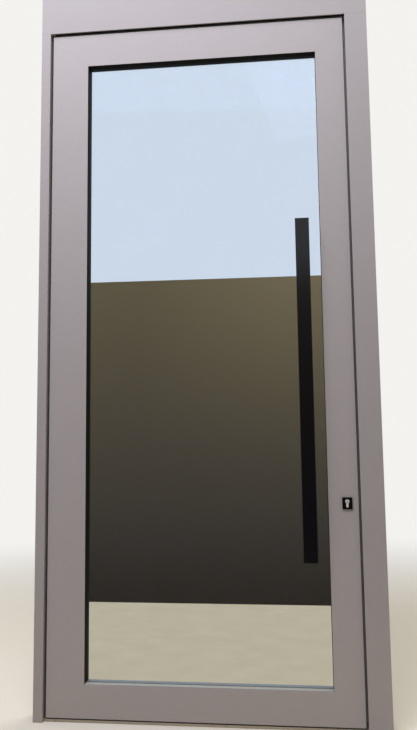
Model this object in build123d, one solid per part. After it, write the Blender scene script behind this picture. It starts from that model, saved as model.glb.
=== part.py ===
"""A tall framed glass entrance door on pivots, with its frame.

X runs to the right as seen from outside, Y into the building and Z up, in millimetres.
The origin is at the sill, in the middle of the frame's width and depth.
The leaf turns on a floor pivot and a top pivot near its left edge, and opens inwards.
"""
from build123d import *
import os

# Frame
FRAME_WIDTH = 1500.0
FRAME_HEIGHT = 3300.0
FRAME_DEPTH = 110.0
JAMB_LEFT_FACE = 42.0
JAMB_RIGHT_FACE = 97.0
HEAD_FACE = 236.0
HEAD_CHAMBERS = 3
LIP = 20.0
THRESHOLD_HEIGHT = 10.0
THRESHOLD_WALL = 2.0
THRESHOLD_SETBACK = 2.0
THRESHOLD_CHAMBERS = 3

# Gaps round the leaf
SIDE_GAP = 10.0
HEAD_GAP = 10.0
LEAF_LIFT = 6.0
SEAL_GAP = 9.0

# Leaf
LEAF_DEPTH = 90.0
LEAF_RECESS = 15.0
STILE_LEFT = 167.0
STILE_RIGHT = 125.0
RAIL_TOP = 153.0
RAIL_BOTTOM = 138.0
FLANGE = 22.0
WALL = 3.0
THICK_WALL = 6.0
EDGE_RADIUS = 1.0
CLEAT_CHAMBER = (0.27, 0.545)
CLEAT_LEG = 95.0

# Glazing
GLASS = 12.0
GASKET = 4.0
GASKET_SHOW = 2.0
GLASS_RECESS = 35.0
REBATE = 24.0
GLASS_COVER = 16.0
BEAD_WALL = 1.8
BEAD_RADIUS = 2.0
BLOCK_LENGTH = 100.0
BLOCK_FROM_SIDE = 262.0
BLOCK_FROM_END = 275.0

# Grooves: width, depth and how far the middle lies from the section's edge
GASKET_GROOVE = 3.0
GASKET_GROOVE_PLACE = 5.0
SEAL_GROOVE = 4.0
SEAL_WIDTH = 8.0
SEAL_WALL = 1.5
SEAL_PLACE = 6.0
BRUSH_GROOVE = 8.0
BRUSH_DEPTH = 6.0
BRUSH_WIDTH = 5.0
BRUSH_WALL = 2.0
BRUSH_FROM_FACE = 15.0
BRUSH_END = 8.0

# Pivots
PIVOT_FROM_EDGE = 150.0
FLOOR_PIN_RADIUS = 8.0
TOP_PIN_RADIUS = 7.0
PIN_ENGAGEMENT = 30.0
SHOE_LENGTH = 140.0
SHOE_WIDTH = 27.0
SHOE_BOSS_RADIUS = 16.0
BEARING_RADIUS = 15.0
PLATE_LENGTH = 120.0
PLATE_WIDTH = 40.0
PLATE_HOLE_FROM_PIN = 42.0
PLATE_HOLE_RADIUS = 4.5
PLATE_BORE_DEPTH = 5.0
PLATE_BORE_RADIUS = 7.5
HOUSING_LENGTH = 60.0
HOUSING_WIDTH = 28.0
HOUSING_HEIGHT = 40.0
HOUSING_PLATE = (140.0, 32.0, 3.0)

# Joints between the jambs and the head
JOINT_BLOCK_HEIGHT = 60.0
HEAD_BOLT_RADIUS = 4.0
HEAD_BOLT_LENGTH = 45.0
HEAD_BOLT_HEAD = (7.5, 5.0)

# Holes in the jambs' backs for the screws of the wall straps, and in the threshold
JAMB_HOLE_RADIUS = 2.75
JAMB_HOLE_COUNT = 6
JAMB_HOLE_FROM_END = 150.0
JAMB_HOLE_FROM_MIDDLE = 25.0
THRESHOLD_HOLE_FROM_PIVOT = 250.0
THRESHOLD_HOLE_FROM_END = 170.0
THRESHOLD_HOLE_RADIUS = 3.0
THRESHOLD_HOLE_FROM_MIDDLE = 8.0

# Pull bars
BAR_WIDTH = 60.0
BAR_THICKNESS = 20.0
BAR_WALL = 2.0
BAR_CORNER = 1.5
BAR_LENGTH = 1450.0
BAR_BOTTOM = 657.0
BAR_FROM_EDGE = 204.0
BAR_PROJECTION = 60.0
BAR_CAP = 3.0
POST_RADIUS = 13.0
POST_PLACE = 240.0
STUD_RADIUS = 4.0
STUD_DEPTH = 30.0
BUSH_PROUD = 0.5
GLASS_HOLE_RADIUS = 8.0

# Lock
LOCK_FROM_EDGE = 47.0
LOCK_HEIGHT = 892.0
ESCUTCHEON = (42.0, 49.0)
ESCUTCHEON_THICKNESS = 7.0
ESCUTCHEON_BEVEL = 0.8
CASE_THICKNESS = 15.0
CASE_WALL = 1.4
CASE_BEHIND_CYLINDER = 30.0
CASE_BELOW = 60.0
CASE_ABOVE = 75.0
FACEPLATE = (24.0, 210.0, 3.0)
STRIKE = (24.0, 120.0, 2.0)
STRIKE_BOX_WALL = 1.5
BOLT_HEIGHT = 30.0
BOLT_GUIDED = 42.0
BOLT_TRAVEL = 20.0
BOLT_ABOVE_CYLINDER = 33.0
CYLINDER_RADIUS = 8.5
CYLINDER_STEM = 10.0
CYLINDER_HEIGHT = 33.0
CYLINDER_PROUD = 0.5
PLUG_RADIUS = 6.5
PLUG_END = 0.2
KEYWAY = (2.4, 9.0, 25.0)
CAM_WIDTH = 9.6
CAM_HUB_RADIUS = 7.5
CAM_REACH = 15.0
CAM_FINGER = 6.0
CAM_SLOT = 10.4
TURN_NECK = 2.5
TURN_KNOB = (34.0, 14.0, 20.0)
KNOB_BEVEL = 2.0

# Clearances
RUNNING = 0.05
FIT = 0.1
LOOSE = 0.3
TOUCH = 0.02
RUN_OUT = 1.0

# Places that follow from the sizes
LEFT, RIGHT = -FRAME_WIDTH / 2, FRAME_WIDTH / 2
OUTSIDE, INSIDE = -FRAME_DEPTH / 2, FRAME_DEPTH / 2
HEAD_UNDER = FRAME_HEIGHT - HEAD_FACE
JAMB_LEFT_EDGE = LEFT + JAMB_LEFT_FACE
JAMB_RIGHT_EDGE = RIGHT - JAMB_RIGHT_FACE
LEFT_LIP_EDGE = JAMB_LEFT_EDGE + LIP
RIGHT_WALL = JAMB_RIGHT_EDGE + LIP
LEAF_LEFT = JAMB_LEFT_EDGE + SIDE_GAP
LEAF_RIGHT = JAMB_RIGHT_EDGE - SIDE_GAP
LEAF_BOTTOM = THRESHOLD_HEIGHT + LEAF_LIFT
LEAF_TOP = HEAD_UNDER - HEAD_GAP
LEAF_OUT = OUTSIDE + LEAF_RECESS
LEAF_IN = LEAF_OUT + LEAF_DEPTH
FLANGE_EDGE = LEAF_RIGHT + FLANGE
GLASS_OUT = LEAF_OUT + GLASS_RECESS
GLASS_IN = GLASS_OUT + GLASS
STEP_OUT = GLASS_OUT - GASKET
STEP_IN = STEP_OUT + SEAL_GAP
BEAD_OUT = GLASS_IN + GASKET
OPEN_LEFT = LEAF_LEFT + STILE_LEFT
OPEN_RIGHT = LEAF_RIGHT - STILE_RIGHT
OPEN_BOTTOM = LEAF_BOTTOM + RAIL_BOTTOM
OPEN_TOP = LEAF_TOP - RAIL_TOP
PIVOT_X = LEAF_LEFT + PIVOT_FROM_EDGE
PIVOT_Y = (LEAF_OUT + LEAF_IN) / 2
BRUSH_PLACES = (LEAF_OUT + BRUSH_FROM_FACE, LEAF_IN - BRUSH_FROM_FACE)
BAR_X = LEAF_RIGHT - BAR_FROM_EDGE
BAR_Z = (LEAF_BOTTOM + BAR_BOTTOM, LEAF_BOTTOM + BAR_BOTTOM + BAR_LENGTH)
POST_HEIGHTS = (BAR_Z[0] + POST_PLACE, BAR_Z[1] - POST_PLACE)
BAR_STAND = LEAF_OUT - BAR_PROJECTION + BAR_THICKNESS - GLASS_OUT
LOCK_X = LEAF_RIGHT - LOCK_FROM_EDGE
PLATE_Z = LEAF_BOTTOM + LOCK_HEIGHT
LOCK_Y = (STEP_IN + LEAF_IN) / 2
LOCK_Z = PLATE_Z + CYLINDER_HEIGHT / 2 - CYLINDER_RADIUS
BOLT_Z = LOCK_Z + BOLT_ABOVE_CYLINDER
BOLT_THICKNESS = CASE_THICKNESS - 2 * CASE_WALL - 2 * FIT
BOLT_FRONT = FLANGE_EDGE + FACEPLATE[2] - FIT
BOLT_THROWN = BOLT_FRONT + BOLT_TRAVEL
JAMB_HOLE_PITCH = (HEAD_UNDER - 2 * JAMB_HOLE_FROM_END) / (JAMB_HOLE_COUNT - 1)
JAMB_HOLE_HEIGHTS = [JAMB_HOLE_FROM_END + i * JAMB_HOLE_PITCH for i in range(JAMB_HOLE_COUNT)]
THRESHOLD_HOLES = (PIVOT_X + THRESHOLD_HOLE_FROM_PIVOT, RIGHT_WALL - THRESHOLD_HOLE_FROM_END)


def block(x, y, z):
    """A box between three pairs of low and high."""
    sizes = [high - low for low, high in (x, y, z)]
    return Pos(sum(x) / 2, sum(y) / 2, sum(z) / 2) * Box(*sizes)


def patch(u, v):
    """A rectangle between two pairs of low and high, in a section's own plane."""
    return Pos(sum(u) / 2, sum(v) / 2) * Rectangle(u[1] - u[0], v[1] - v[0])


def about(middle, width):
    """The low and high of a width about its middle."""
    return (middle - width / 2, middle + width / 2)


def rod(x, y, z, radius):
    """A round bar along the one place of the three that is a pair."""
    spans = [place if isinstance(place, tuple) else (place, place) for place in (x, y, z)]
    lengths = [high - low for low, high in spans]
    along = lengths.index(max(lengths))
    turn = (Rot(0, 90, 0), Rot(90, 0, 0), Rot(0, 0, 0))[along]
    return Pos(*(sum(span) / 2 for span in spans)) * turn * Cylinder(radius, lengths[along])


def round_face_corners(outline, face):
    """Round the corners of a section that lie on its outer face."""
    corners = [corner for corner in outline.vertices() if abs(corner.Y - face) < RUN_OUT / 2]
    return fillet(corners, EDGE_RADIUS)


def jamb_holes(x, y):
    """The strap screws' holes through one wall of a jamb."""
    return [rod(x, y, z, JAMB_HOLE_RADIUS) for z in JAMB_HOLE_HEIGHTS]


def jamb_left():
    """The pivot side's jamb: a box section with its stop lip on the inside."""
    outline = patch((LEFT, JAMB_LEFT_EDGE), (OUTSIDE, INSIDE))
    outline = round_face_corners(outline, OUTSIDE)
    outline += patch((JAMB_LEFT_EDGE, LEFT_LIP_EDGE), (STEP_IN, INSIDE))
    front = patch((LEFT + WALL, JAMB_LEFT_EDGE - WALL), (OUTSIDE + WALL, STEP_IN))
    back = patch((LEFT + WALL, LEFT_LIP_EDGE - WALL), (STEP_IN + THICK_WALL, INSIDE - WALL))
    groove = patch(about(LEFT_LIP_EDGE - SEAL_PLACE, SEAL_GROOVE), (STEP_IN, STEP_IN + SEAL_GROOVE))
    jamb = extrude(outline - front - back - groove, HEAD_UNDER)
    return jamb - jamb_holes((LEFT - RUN_OUT, LEFT + WALL + RUN_OUT), -JAMB_HOLE_FROM_MIDDLE)


def jamb_right():
    """The lock side's jamb: a box section with its stop lip on the outside."""
    outline = patch((RIGHT_WALL, RIGHT), (OUTSIDE, INSIDE))
    outline += patch((JAMB_RIGHT_EDGE, RIGHT), (OUTSIDE, STEP_OUT))
    outline = round_face_corners(outline, OUTSIDE)
    front = patch((JAMB_RIGHT_EDGE + WALL, RIGHT - WALL), (OUTSIDE + WALL, STEP_OUT - THICK_WALL))
    back = patch((RIGHT_WALL + WALL, RIGHT - WALL), (STEP_OUT, INSIDE - WALL))
    groove = patch(about(JAMB_RIGHT_EDGE + SEAL_PLACE, SEAL_GROOVE), (STEP_OUT - SEAL_GROOVE, STEP_OUT))
    jamb = extrude(outline - front - back - groove, HEAD_UNDER)
    jamb -= jamb_holes((RIGHT - WALL - RUN_OUT, RIGHT + RUN_OUT), JAMB_HOLE_FROM_MIDDLE)
    return jamb - bolt_passage((RIGHT_WALL - RUN_OUT, RIGHT_WALL + WALL + RUN_OUT), STRIKE_BOX_WALL + FIT)


def frame_head():
    """The head: a tall box section with two webs, over both jambs."""
    outline = patch((OUTSIDE, INSIDE), (HEAD_UNDER, FRAME_HEIGHT))
    outline = fillet([c for c in outline.vertices() if c.X < 0], EDGE_RADIUS)
    pitch = (HEAD_FACE - WALL) / HEAD_CHAMBERS
    for i in range(HEAD_CHAMBERS):
        low = HEAD_UNDER + WALL + i * pitch
        outline -= patch((OUTSIDE + WALL, INSIDE - WALL), (low, low + pitch - WALL))
    head = extrude(Plane(origin=(LEFT, 0, 0), x_dir=(0, 1, 0), z_dir=(1, 0, 0)) * outline, FRAME_WIDTH)
    wall = (HEAD_UNDER - RUN_OUT, HEAD_UNDER + WALL + RUN_OUT)
    head -= rod(PIVOT_X, PIVOT_Y, wall, TOP_PIN_RADIUS + LOOSE)
    return head - [rod(x, y, wall, HEAD_BOLT_RADIUS + LOOSE) for x, y in head_bolt_places()]


def threshold():
    """The threshold: a low box section between the jambs, notched round their lips."""
    front = LEAF_OUT + THRESHOLD_SETBACK
    outline = patch((front, INSIDE), (0, THRESHOLD_HEIGHT))
    edge = [c for c in outline.vertices() if c.X < 0 and c.Y > 0]
    outline = chamfer(edge, THRESHOLD_WALL)
    pitch = (INSIDE - front - THRESHOLD_WALL) / THRESHOLD_CHAMBERS
    inner = (THRESHOLD_WALL, THRESHOLD_HEIGHT - THRESHOLD_WALL)
    for i in range(THRESHOLD_CHAMBERS):
        low = front + THRESHOLD_WALL + i * pitch
        outline -= patch((low, low + pitch - THRESHOLD_WALL), inner)
    plane = Plane(origin=(JAMB_LEFT_EDGE, 0, 0), x_dir=(0, 1, 0), z_dir=(1, 0, 0))
    sill = extrude(plane * outline, RIGHT_WALL - JAMB_LEFT_EDGE)
    tall = (-RUN_OUT, THRESHOLD_HEIGHT + RUN_OUT)
    sill -= block((JAMB_LEFT_EDGE, LEFT_LIP_EDGE), (STEP_IN, INSIDE), tall)
    sill -= block((JAMB_RIGHT_EDGE, RIGHT_WALL), (OUTSIDE, STEP_OUT), tall)
    sill -= block(about(PIVOT_X, PLATE_LENGTH), about(PIVOT_Y, PLATE_WIDTH), tall)
    return sill - [rod(x, THRESHOLD_HOLE_FROM_MIDDLE, tall, THRESHOLD_HOLE_RADIUS) for x in THRESHOLD_HOLES]


def joint_block(x, y):
    """The block in a jamb's chamber that the head is bolted to."""
    x = (x[0] + LOOSE, x[1] - LOOSE)
    y = (y[0] + LOOSE, y[1] - LOOSE)
    body = block(x, y, (HEAD_UNDER - JOINT_BLOCK_HEIGHT, HEAD_UNDER))
    drilled = (HEAD_UNDER - JOINT_BLOCK_HEIGHT - RUN_OUT, HEAD_UNDER + RUN_OUT)
    return body - [rod(bx, by, drilled, HEAD_BOLT_RADIUS + TOUCH) for bx, by in head_bolt_places()]


def joint_block_left():
    return joint_block((LEFT + WALL, LEFT_LIP_EDGE - WALL), (STEP_IN + THICK_WALL, INSIDE - WALL))


def joint_block_right():
    return joint_block((RIGHT_WALL + WALL, RIGHT - WALL), (STEP_OUT, INSIDE - WALL))


def head_bolt_places():
    """A bolt over the middle of each joint block."""
    left = (LEFT + LEFT_LIP_EDGE) / 2, (STEP_IN + THICK_WALL + INSIDE - WALL) / 2
    right = (RIGHT_WALL + RIGHT) / 2, (STEP_OUT + INSIDE - WALL) / 2
    return [left, right]


def head_bolts():
    """Hexagon bolts from inside the head down into the joint blocks."""
    seat = HEAD_UNDER + WALL
    size, thick = HEAD_BOLT_HEAD
    bolts = []
    for x, y in head_bolt_places():
        shank = rod(x, y, (seat - WALL - HEAD_BOLT_LENGTH, seat), HEAD_BOLT_RADIUS)
        bolts.append(shank + Pos(x, y, seat) * extrude(RegularPolygon(size, 6), thick))
    return bolts


def frame_seal(lip_edge, towards_leaf, seat, end):
    """A hollow seal with its root in a lip's groove, as tall as the jamb."""
    middle = lip_edge - towards_leaf * SEAL_PLACE
    facing = 1 if end > seat else -1
    root = about(middle, SEAL_GROOVE - 2 * FIT)
    tip = end - facing * LOOSE
    tube = patch(about(middle, SEAL_WIDTH), (min(seat, tip), max(seat, tip)))
    corners = [c for c in tube.vertices() if abs(c.Y - tip) < RUN_OUT / 2]
    tube = fillet(corners, SEAL_WIDTH / 2 - SEAL_WALL)
    inner = sorted((seat + facing * SEAL_WALL, tip - facing * SEAL_WALL))
    tube -= patch(about(middle, SEAL_WIDTH - 2 * SEAL_WALL), inner)
    tail = sorted((seat, seat - facing * (SEAL_GROOVE - FIT)))
    section = tube + patch(root, tail)
    return Pos(0, 0, THRESHOLD_HEIGHT) * extrude(section, HEAD_UNDER - THRESHOLD_HEIGHT)


def frame_seal_left():
    return frame_seal(LEFT_LIP_EDGE, 1, STEP_IN, STEP_OUT)


def frame_seal_right():
    return frame_seal(JAMB_RIGHT_EDGE, -1, STEP_OUT, STEP_IN)


def bolt_passage(x, grow=0.0):
    """The space that the deadbolt needs between two places along X, grown sideways."""
    thick, high = BOLT_THICKNESS + 2 * (LOOSE + grow), BOLT_HEIGHT + 2 * (LOOSE + grow)
    return block(x, about(LOCK_Y, thick), about(BOLT_Z, high))


def strike_plate():
    """The plate on the lock side's jamb, with the dust box behind it that takes the deadbolt."""
    wide, tall, thick = STRIKE
    plate = block((RIGHT_WALL - thick, RIGHT_WALL), about(LOCK_Y, wide), about(BOLT_Z, tall))
    end = BOLT_THROWN + LOOSE
    plate += bolt_passage((RIGHT_WALL, end + STRIKE_BOX_WALL), STRIKE_BOX_WALL)
    return plate - bolt_passage((RIGHT_WALL - thick - RUN_OUT, end))


def floor_pivot_plate():
    """The steel base let into the threshold: a plate with its pin and two counterbored holes."""
    plate = block(about(PIVOT_X, PLATE_LENGTH), about(PIVOT_Y, PLATE_WIDTH), (0, THRESHOLD_HEIGHT))
    through = (-RUN_OUT, THRESHOLD_HEIGHT + RUN_OUT)
    for x in about(PIVOT_X, 2 * PLATE_HOLE_FROM_PIN):
        plate -= rod(x, PIVOT_Y, through, PLATE_HOLE_RADIUS)
        plate -= rod(x, PIVOT_Y, (THRESHOLD_HEIGHT - PLATE_BORE_DEPTH, through[1]), PLATE_BORE_RADIUS)
    return plate + rod(PIVOT_X, PIVOT_Y, (0, LEAF_BOTTOM + PIN_ENGAGEMENT), FLOOR_PIN_RADIUS)


def floor_pivot_bearing():
    """The thrust ring round the pin that carries the leaf."""
    height = (THRESHOLD_HEIGHT, LEAF_BOTTOM - FIT)
    ring = rod(PIVOT_X, PIVOT_Y, height, BEARING_RADIUS)
    return ring - rod(PIVOT_X, PIVOT_Y, height, FLOOR_PIN_RADIUS + TOUCH)


def top_pivot_housing():
    """The housing inside the head: a plate on the lower wall with a bored block on it."""
    long, wide, thick = HOUSING_PLATE
    seat, top = HEAD_UNDER + WALL, HEAD_UNDER + HOUSING_HEIGHT
    body = block(about(PIVOT_X, long), about(PIVOT_Y, wide), (seat, seat + thick))
    body += block(about(PIVOT_X, HOUSING_LENGTH), about(PIVOT_Y, HOUSING_WIDTH), (seat, top))
    return body - rod(PIVOT_X, PIVOT_Y, (seat - RUN_OUT, top + RUN_OUT), TOP_PIN_RADIUS + TOUCH)


def top_pivot_pin():
    return rod(PIVOT_X, PIVOT_Y, (LEAF_TOP - PIN_ENGAGEMENT, HEAD_UNDER + HOUSING_HEIGHT), TOP_PIN_RADIUS)


def leaf_section(width, inner_start=0.0, brushes=()):
    """A leaf extrusion's section: first axis from its outer edge to the opening, second its depth.

    inner_start is where the inner half begins: above 0 the outer half stands out as a flange,
    below 0 the inner half does. brushes are the depths of the grooves in the outer edge.
    """
    floor = width - REBATE
    start = max(inner_start, 0)
    outline = patch((0, width), (LEAF_OUT, STEP_OUT))
    outline = round_face_corners(outline, LEAF_OUT)
    outline += patch((start, floor), (STEP_OUT, LEAF_IN))
    webs = [share * width for share in CLEAT_CHAMBER]
    outer_ends = [(WALL, webs[0] - WALL), tuple(webs), (webs[1] + WALL, width - WALL)]
    inner_ends = [(start + WALL, webs[0] - WALL), tuple(webs), (webs[1] + WALL, floor - WALL)]
    hollows = [patch(ends, (LEAF_OUT + WALL, STEP_OUT - THICK_WALL)) for ends in outer_ends]
    hollows += [patch(ends, (STEP_OUT, LEAF_IN - WALL)) for ends in inner_ends]
    if inner_start < 0:
        outline += patch((inner_start, 0), (STEP_IN, LEAF_IN))
        hollows.append(patch((inner_start + WALL, 0), (STEP_IN + WALL, LEAF_IN - WALL)))
    section = outline - hollows
    for depth in brushes:
        box = (0, BRUSH_DEPTH + BRUSH_WALL)
        section += patch(box, about(depth, BRUSH_GROOVE + 2 * BRUSH_WALL))
        section -= patch((-RUN_OUT, BRUSH_DEPTH), about(depth, BRUSH_GROOVE))
    return section


def along_edge(section, origin, across, length):
    """Carry a section along one edge of the leaf: across is the way from the edge to the opening."""
    plane = Plane(origin=origin, x_dir=across, z_dir=Vector(*across).cross(Vector(0, 1, 0)))
    return extrude(plane * section, length)


def opening(grow, y):
    """The leaf's glazed opening as a block, grown by so much on every side."""
    return block((OPEN_LEFT - grow, OPEN_RIGHT + grow), y, (OPEN_BOTTOM - grow, OPEN_TOP + grow))


def gasket_root(fit):
    """The ring behind the nose where the outer gasket is held: its groove, or with fit its root."""
    half = GASKET_GROOVE / 2 - fit
    low, high = STEP_OUT - GASKET_GROOVE + fit, STEP_OUT
    ring = opening(GASKET_GROOVE_PLACE + half, (low, high))
    return ring - opening(GASKET_GROOVE_PLACE - half, (low - RUN_OUT, high + RUN_OUT))


def mitre_zone(*corners):
    """The share of the leaf that one member keeps, bounded by the mitre planes."""
    zone = Plane.XZ * make_face(Polyline(*corners, close=True))
    return extrude(zone, FRAME_DEPTH, both=True)


def stile_left():
    section = leaf_section(STILE_LEFT, inner_start=FLANGE)
    height = LEAF_TOP - LEAF_BOTTOM
    member = along_edge(section, (LEAF_LEFT, 0, LEAF_BOTTOM), (1, 0, 0), height)
    return member & mitre_zone((LEAF_LEFT, LEAF_BOTTOM), (OPEN_LEFT, OPEN_BOTTOM),
                               (OPEN_LEFT, OPEN_TOP), (LEAF_LEFT, LEAF_TOP)) - gasket_root(0)


def stile_right():
    """The lock stile, cut for the lock case and the cylinder."""
    section = leaf_section(STILE_RIGHT, inner_start=-FLANGE)
    height = LEAF_TOP - LEAF_BOTTOM
    member = along_edge(section, (LEAF_RIGHT, 0, LEAF_TOP), (-1, 0, 0), height)
    member &= mitre_zone((LEAF_RIGHT, LEAF_BOTTOM), (OPEN_RIGHT, OPEN_BOTTOM), (OPEN_RIGHT, OPEN_TOP),
                         (LEAF_RIGHT, LEAF_TOP), (FLANGE_EDGE, LEAF_TOP), (FLANGE_EDGE, LEAF_BOTTOM))
    member -= case_block(FIT, FLANGE_EDGE + RUN_OUT)
    return member - cylinder_prism((LEAF_OUT - RUN_OUT, LEAF_IN + RUN_OUT), LOOSE) - gasket_root(0)


def notch_for_lip():
    """What the rails lose at the pivot side, where the jamb's inner lip stands."""
    return block((LEAF_LEFT - RUN_OUT, LEAF_LEFT + FLANGE), (STEP_OUT, LEAF_IN + RUN_OUT),
                 (LEAF_BOTTOM - RUN_OUT, LEAF_TOP + RUN_OUT))


def rail_top():
    section = leaf_section(RAIL_TOP, brushes=BRUSH_PLACES)
    width = LEAF_RIGHT - LEAF_LEFT
    member = along_edge(section, (LEAF_LEFT, 0, LEAF_TOP), (0, 0, -1), width)
    member &= mitre_zone((LEAF_LEFT, LEAF_TOP), (OPEN_LEFT, OPEN_TOP),
                         (OPEN_RIGHT, OPEN_TOP), (LEAF_RIGHT, LEAF_TOP))
    wall = (LEAF_TOP - WALL - FIT, LEAF_TOP + RUN_OUT)
    member -= rod(PIVOT_X, PIVOT_Y, wall, TOP_PIN_RADIUS + LOOSE)
    return member - notch_for_lip() - gasket_root(0)


def rail_bottom():
    section = leaf_section(RAIL_BOTTOM, brushes=BRUSH_PLACES)
    width = LEAF_RIGHT - LEAF_LEFT
    member = along_edge(section, (LEAF_RIGHT, 0, LEAF_BOTTOM), (0, 0, 1), width)
    member &= mitre_zone((LEAF_LEFT, LEAF_BOTTOM), (OPEN_LEFT, OPEN_BOTTOM),
                         (OPEN_RIGHT, OPEN_BOTTOM), (LEAF_RIGHT, LEAF_BOTTOM))
    wall = (LEAF_BOTTOM - RUN_OUT, LEAF_BOTTOM + WALL + FIT)
    member -= rod(PIVOT_X, PIVOT_Y, wall, SHOE_BOSS_RADIUS + LOOSE)
    return member - notch_for_lip() - gasket_root(0)


def corner_cleat(outer_x, outer_z, stile, rail, side_x, side_z):
    """An L-shaped cleat with one leg in a stile's chamber and one in a rail's.

    side_x and side_z are 1 or -1, the way from the leaf's outer corner to its middle.
    """
    near, far = CLEAT_CHAMBER
    x = [outer_x + side_x * (share * stile + fit) for share, fit in ((near, FIT), (far, -FIT))]
    z = [outer_z + side_z * (share * rail + fit) for share, fit in ((near, FIT), (far, -FIT))]
    depth = (STEP_OUT + FIT, LEAF_IN - WALL - FIT)
    upright = block(tuple(sorted(x)), depth, tuple(sorted((z[0], z[1] + side_z * CLEAT_LEG))))
    level = block(tuple(sorted((x[0], x[1] + side_x * CLEAT_LEG))), depth, tuple(sorted(z)))
    return upright + level


def cleat_top_left():
    return corner_cleat(LEAF_LEFT, LEAF_TOP, STILE_LEFT, RAIL_TOP, 1, -1)


def cleat_top_right():
    return corner_cleat(LEAF_RIGHT, LEAF_TOP, STILE_RIGHT, RAIL_TOP, -1, -1)


def cleat_bottom_left():
    return corner_cleat(LEAF_LEFT, LEAF_BOTTOM, STILE_LEFT, RAIL_BOTTOM, 1, 1)


def cleat_bottom_right():
    return corner_cleat(LEAF_RIGHT, LEAF_BOTTOM, STILE_RIGHT, RAIL_BOTTOM, -1, 1)


def glass_pane():
    pane = opening(GLASS_COVER, (GLASS_OUT, GLASS_IN))
    across = (GLASS_OUT - RUN_OUT, GLASS_IN + RUN_OUT)
    return pane - [rod(BAR_X, across, z, GLASS_HOLE_RADIUS) for z in POST_HEIGHTS]


def gasket(low, high):
    """A ring of gasket round the opening, between two depths."""
    return opening(GLASS_COVER - GASKET, (low, high)) - opening(-GASKET_SHOW, (low - RUN_OUT, high + RUN_OUT))


def outer_gasket():
    """The outer gasket, with its root in the groove behind the nose."""
    return gasket(STEP_OUT, GLASS_OUT) + gasket_root(FIT)


def inner_gasket():
    return gasket(GLASS_IN, BEAD_OUT)


def bead(origin, across, length):
    """A glazing bead: a hollow section as high as the rebate, rounded where it shows."""
    section = patch((0, REBATE), (BEAD_OUT, LEAF_IN))
    shown = [c for c in section.vertices() if c.X > 0 and abs(c.Y - LEAF_IN) < RUN_OUT / 2]
    section = fillet(shown, BEAD_RADIUS)
    section -= patch((BEAD_WALL, REBATE - BEAD_WALL), (BEAD_OUT + BEAD_WALL, LEAF_IN - BEAD_WALL))
    return along_edge(section, origin, across, length)


def bead_top():
    left, width = OPEN_LEFT - REBATE, OPEN_RIGHT - OPEN_LEFT + 2 * REBATE
    return bead((left, 0, OPEN_TOP + REBATE), (0, 0, -1), width)


def bead_bottom():
    right, width = OPEN_RIGHT + REBATE, OPEN_RIGHT - OPEN_LEFT + 2 * REBATE
    return bead((right, 0, OPEN_BOTTOM - REBATE), (0, 0, 1), width)


def bead_left():
    return bead((OPEN_LEFT - REBATE, 0, OPEN_BOTTOM), (1, 0, 0), OPEN_TOP - OPEN_BOTTOM)


def bead_right():
    return bead((OPEN_RIGHT + REBATE, 0, OPEN_TOP), (-1, 0, 0), OPEN_TOP - OPEN_BOTTOM)


def setting_blocks():
    """Two blocks that the pane stands on, and one at each side that holds it square."""
    depth = (GLASS_OUT, GLASS_IN)
    below = (OPEN_BOTTOM - REBATE, OPEN_BOTTOM - GLASS_COVER)
    beside_left = (OPEN_LEFT - REBATE, OPEN_LEFT - GLASS_COVER)
    beside_right = (OPEN_RIGHT + GLASS_COVER, OPEN_RIGHT + REBATE)
    return [block(about(OPEN_LEFT + BLOCK_FROM_SIDE, BLOCK_LENGTH), depth, below),
            block(about(OPEN_RIGHT - BLOCK_FROM_SIDE, BLOCK_LENGTH), depth, below),
            block(beside_left, depth, about(OPEN_BOTTOM + BLOCK_FROM_END, BLOCK_LENGTH)),
            block(beside_right, depth, about(OPEN_TOP - BLOCK_FROM_END, BLOCK_LENGTH))]


def brushes(edge, inward, end):
    """Two brush seals with their bases in a rail's grooves: inward is 1 or -1 along Z."""
    strips = []
    for depth in BRUSH_PLACES:
        start = LEAF_LEFT + (BRUSH_END if depth < STEP_OUT else FLANGE)
        length = (start, LEAF_RIGHT - BRUSH_END)
        base = sorted((edge, edge + inward * (BRUSH_DEPTH - FIT)))
        pile = sorted((edge, end + inward * LOOSE))
        strip = block(length, about(depth, BRUSH_GROOVE - 2 * FIT), tuple(base))
        strips.append(strip + block(length, about(depth, BRUSH_WIDTH), tuple(pile)))
    return strips


def top_brushes():
    return brushes(LEAF_TOP, -1, HEAD_UNDER)


def bottom_brushes():
    return brushes(LEAF_BOTTOM, 1, THRESHOLD_HEIGHT)


def bottom_pivot_shoe():
    """The shoe in the bottom rail that stands on the bearing and turns on the pin."""
    high = LEAF_BOTTOM + CLEAT_CHAMBER[0] * RAIL_BOTTOM - WALL - FIT
    body = block(about(PIVOT_X, SHOE_LENGTH), about(PIVOT_Y, SHOE_WIDTH), (LEAF_BOTTOM + WALL + FIT, high))
    body += rod(PIVOT_X, PIVOT_Y, (LEAF_BOTTOM, LEAF_BOTTOM + WALL + FIT), SHOE_BOSS_RADIUS)
    return body - rod(PIVOT_X, PIVOT_Y, (LEAF_BOTTOM - RUN_OUT, high + RUN_OUT), FLOOR_PIN_RADIUS + RUNNING)


def top_pivot_shoe():
    """The shoe in the top rail that turns on the top pin."""
    low = LEAF_TOP - CLEAT_CHAMBER[0] * RAIL_TOP + WALL + FIT
    high = LEAF_TOP - WALL - FIT
    body = block(about(PIVOT_X, SHOE_LENGTH), about(PIVOT_Y, SHOE_WIDTH), (low, high))
    return body - rod(PIVOT_X, PIVOT_Y, (low - RUN_OUT, high + RUN_OUT), TOP_PIN_RADIUS + RUNNING)


def case_block(grow, front):
    """The lock case's outer block, from its back to front, grown all round."""
    back = LOCK_X - CASE_BEHIND_CYLINDER - grow
    height = (LOCK_Z - CASE_BELOW - grow, LOCK_Z + CASE_ABOVE + grow)
    return block((back, front), about(LOCK_Y, CASE_THICKNESS + 2 * grow), height)


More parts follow.
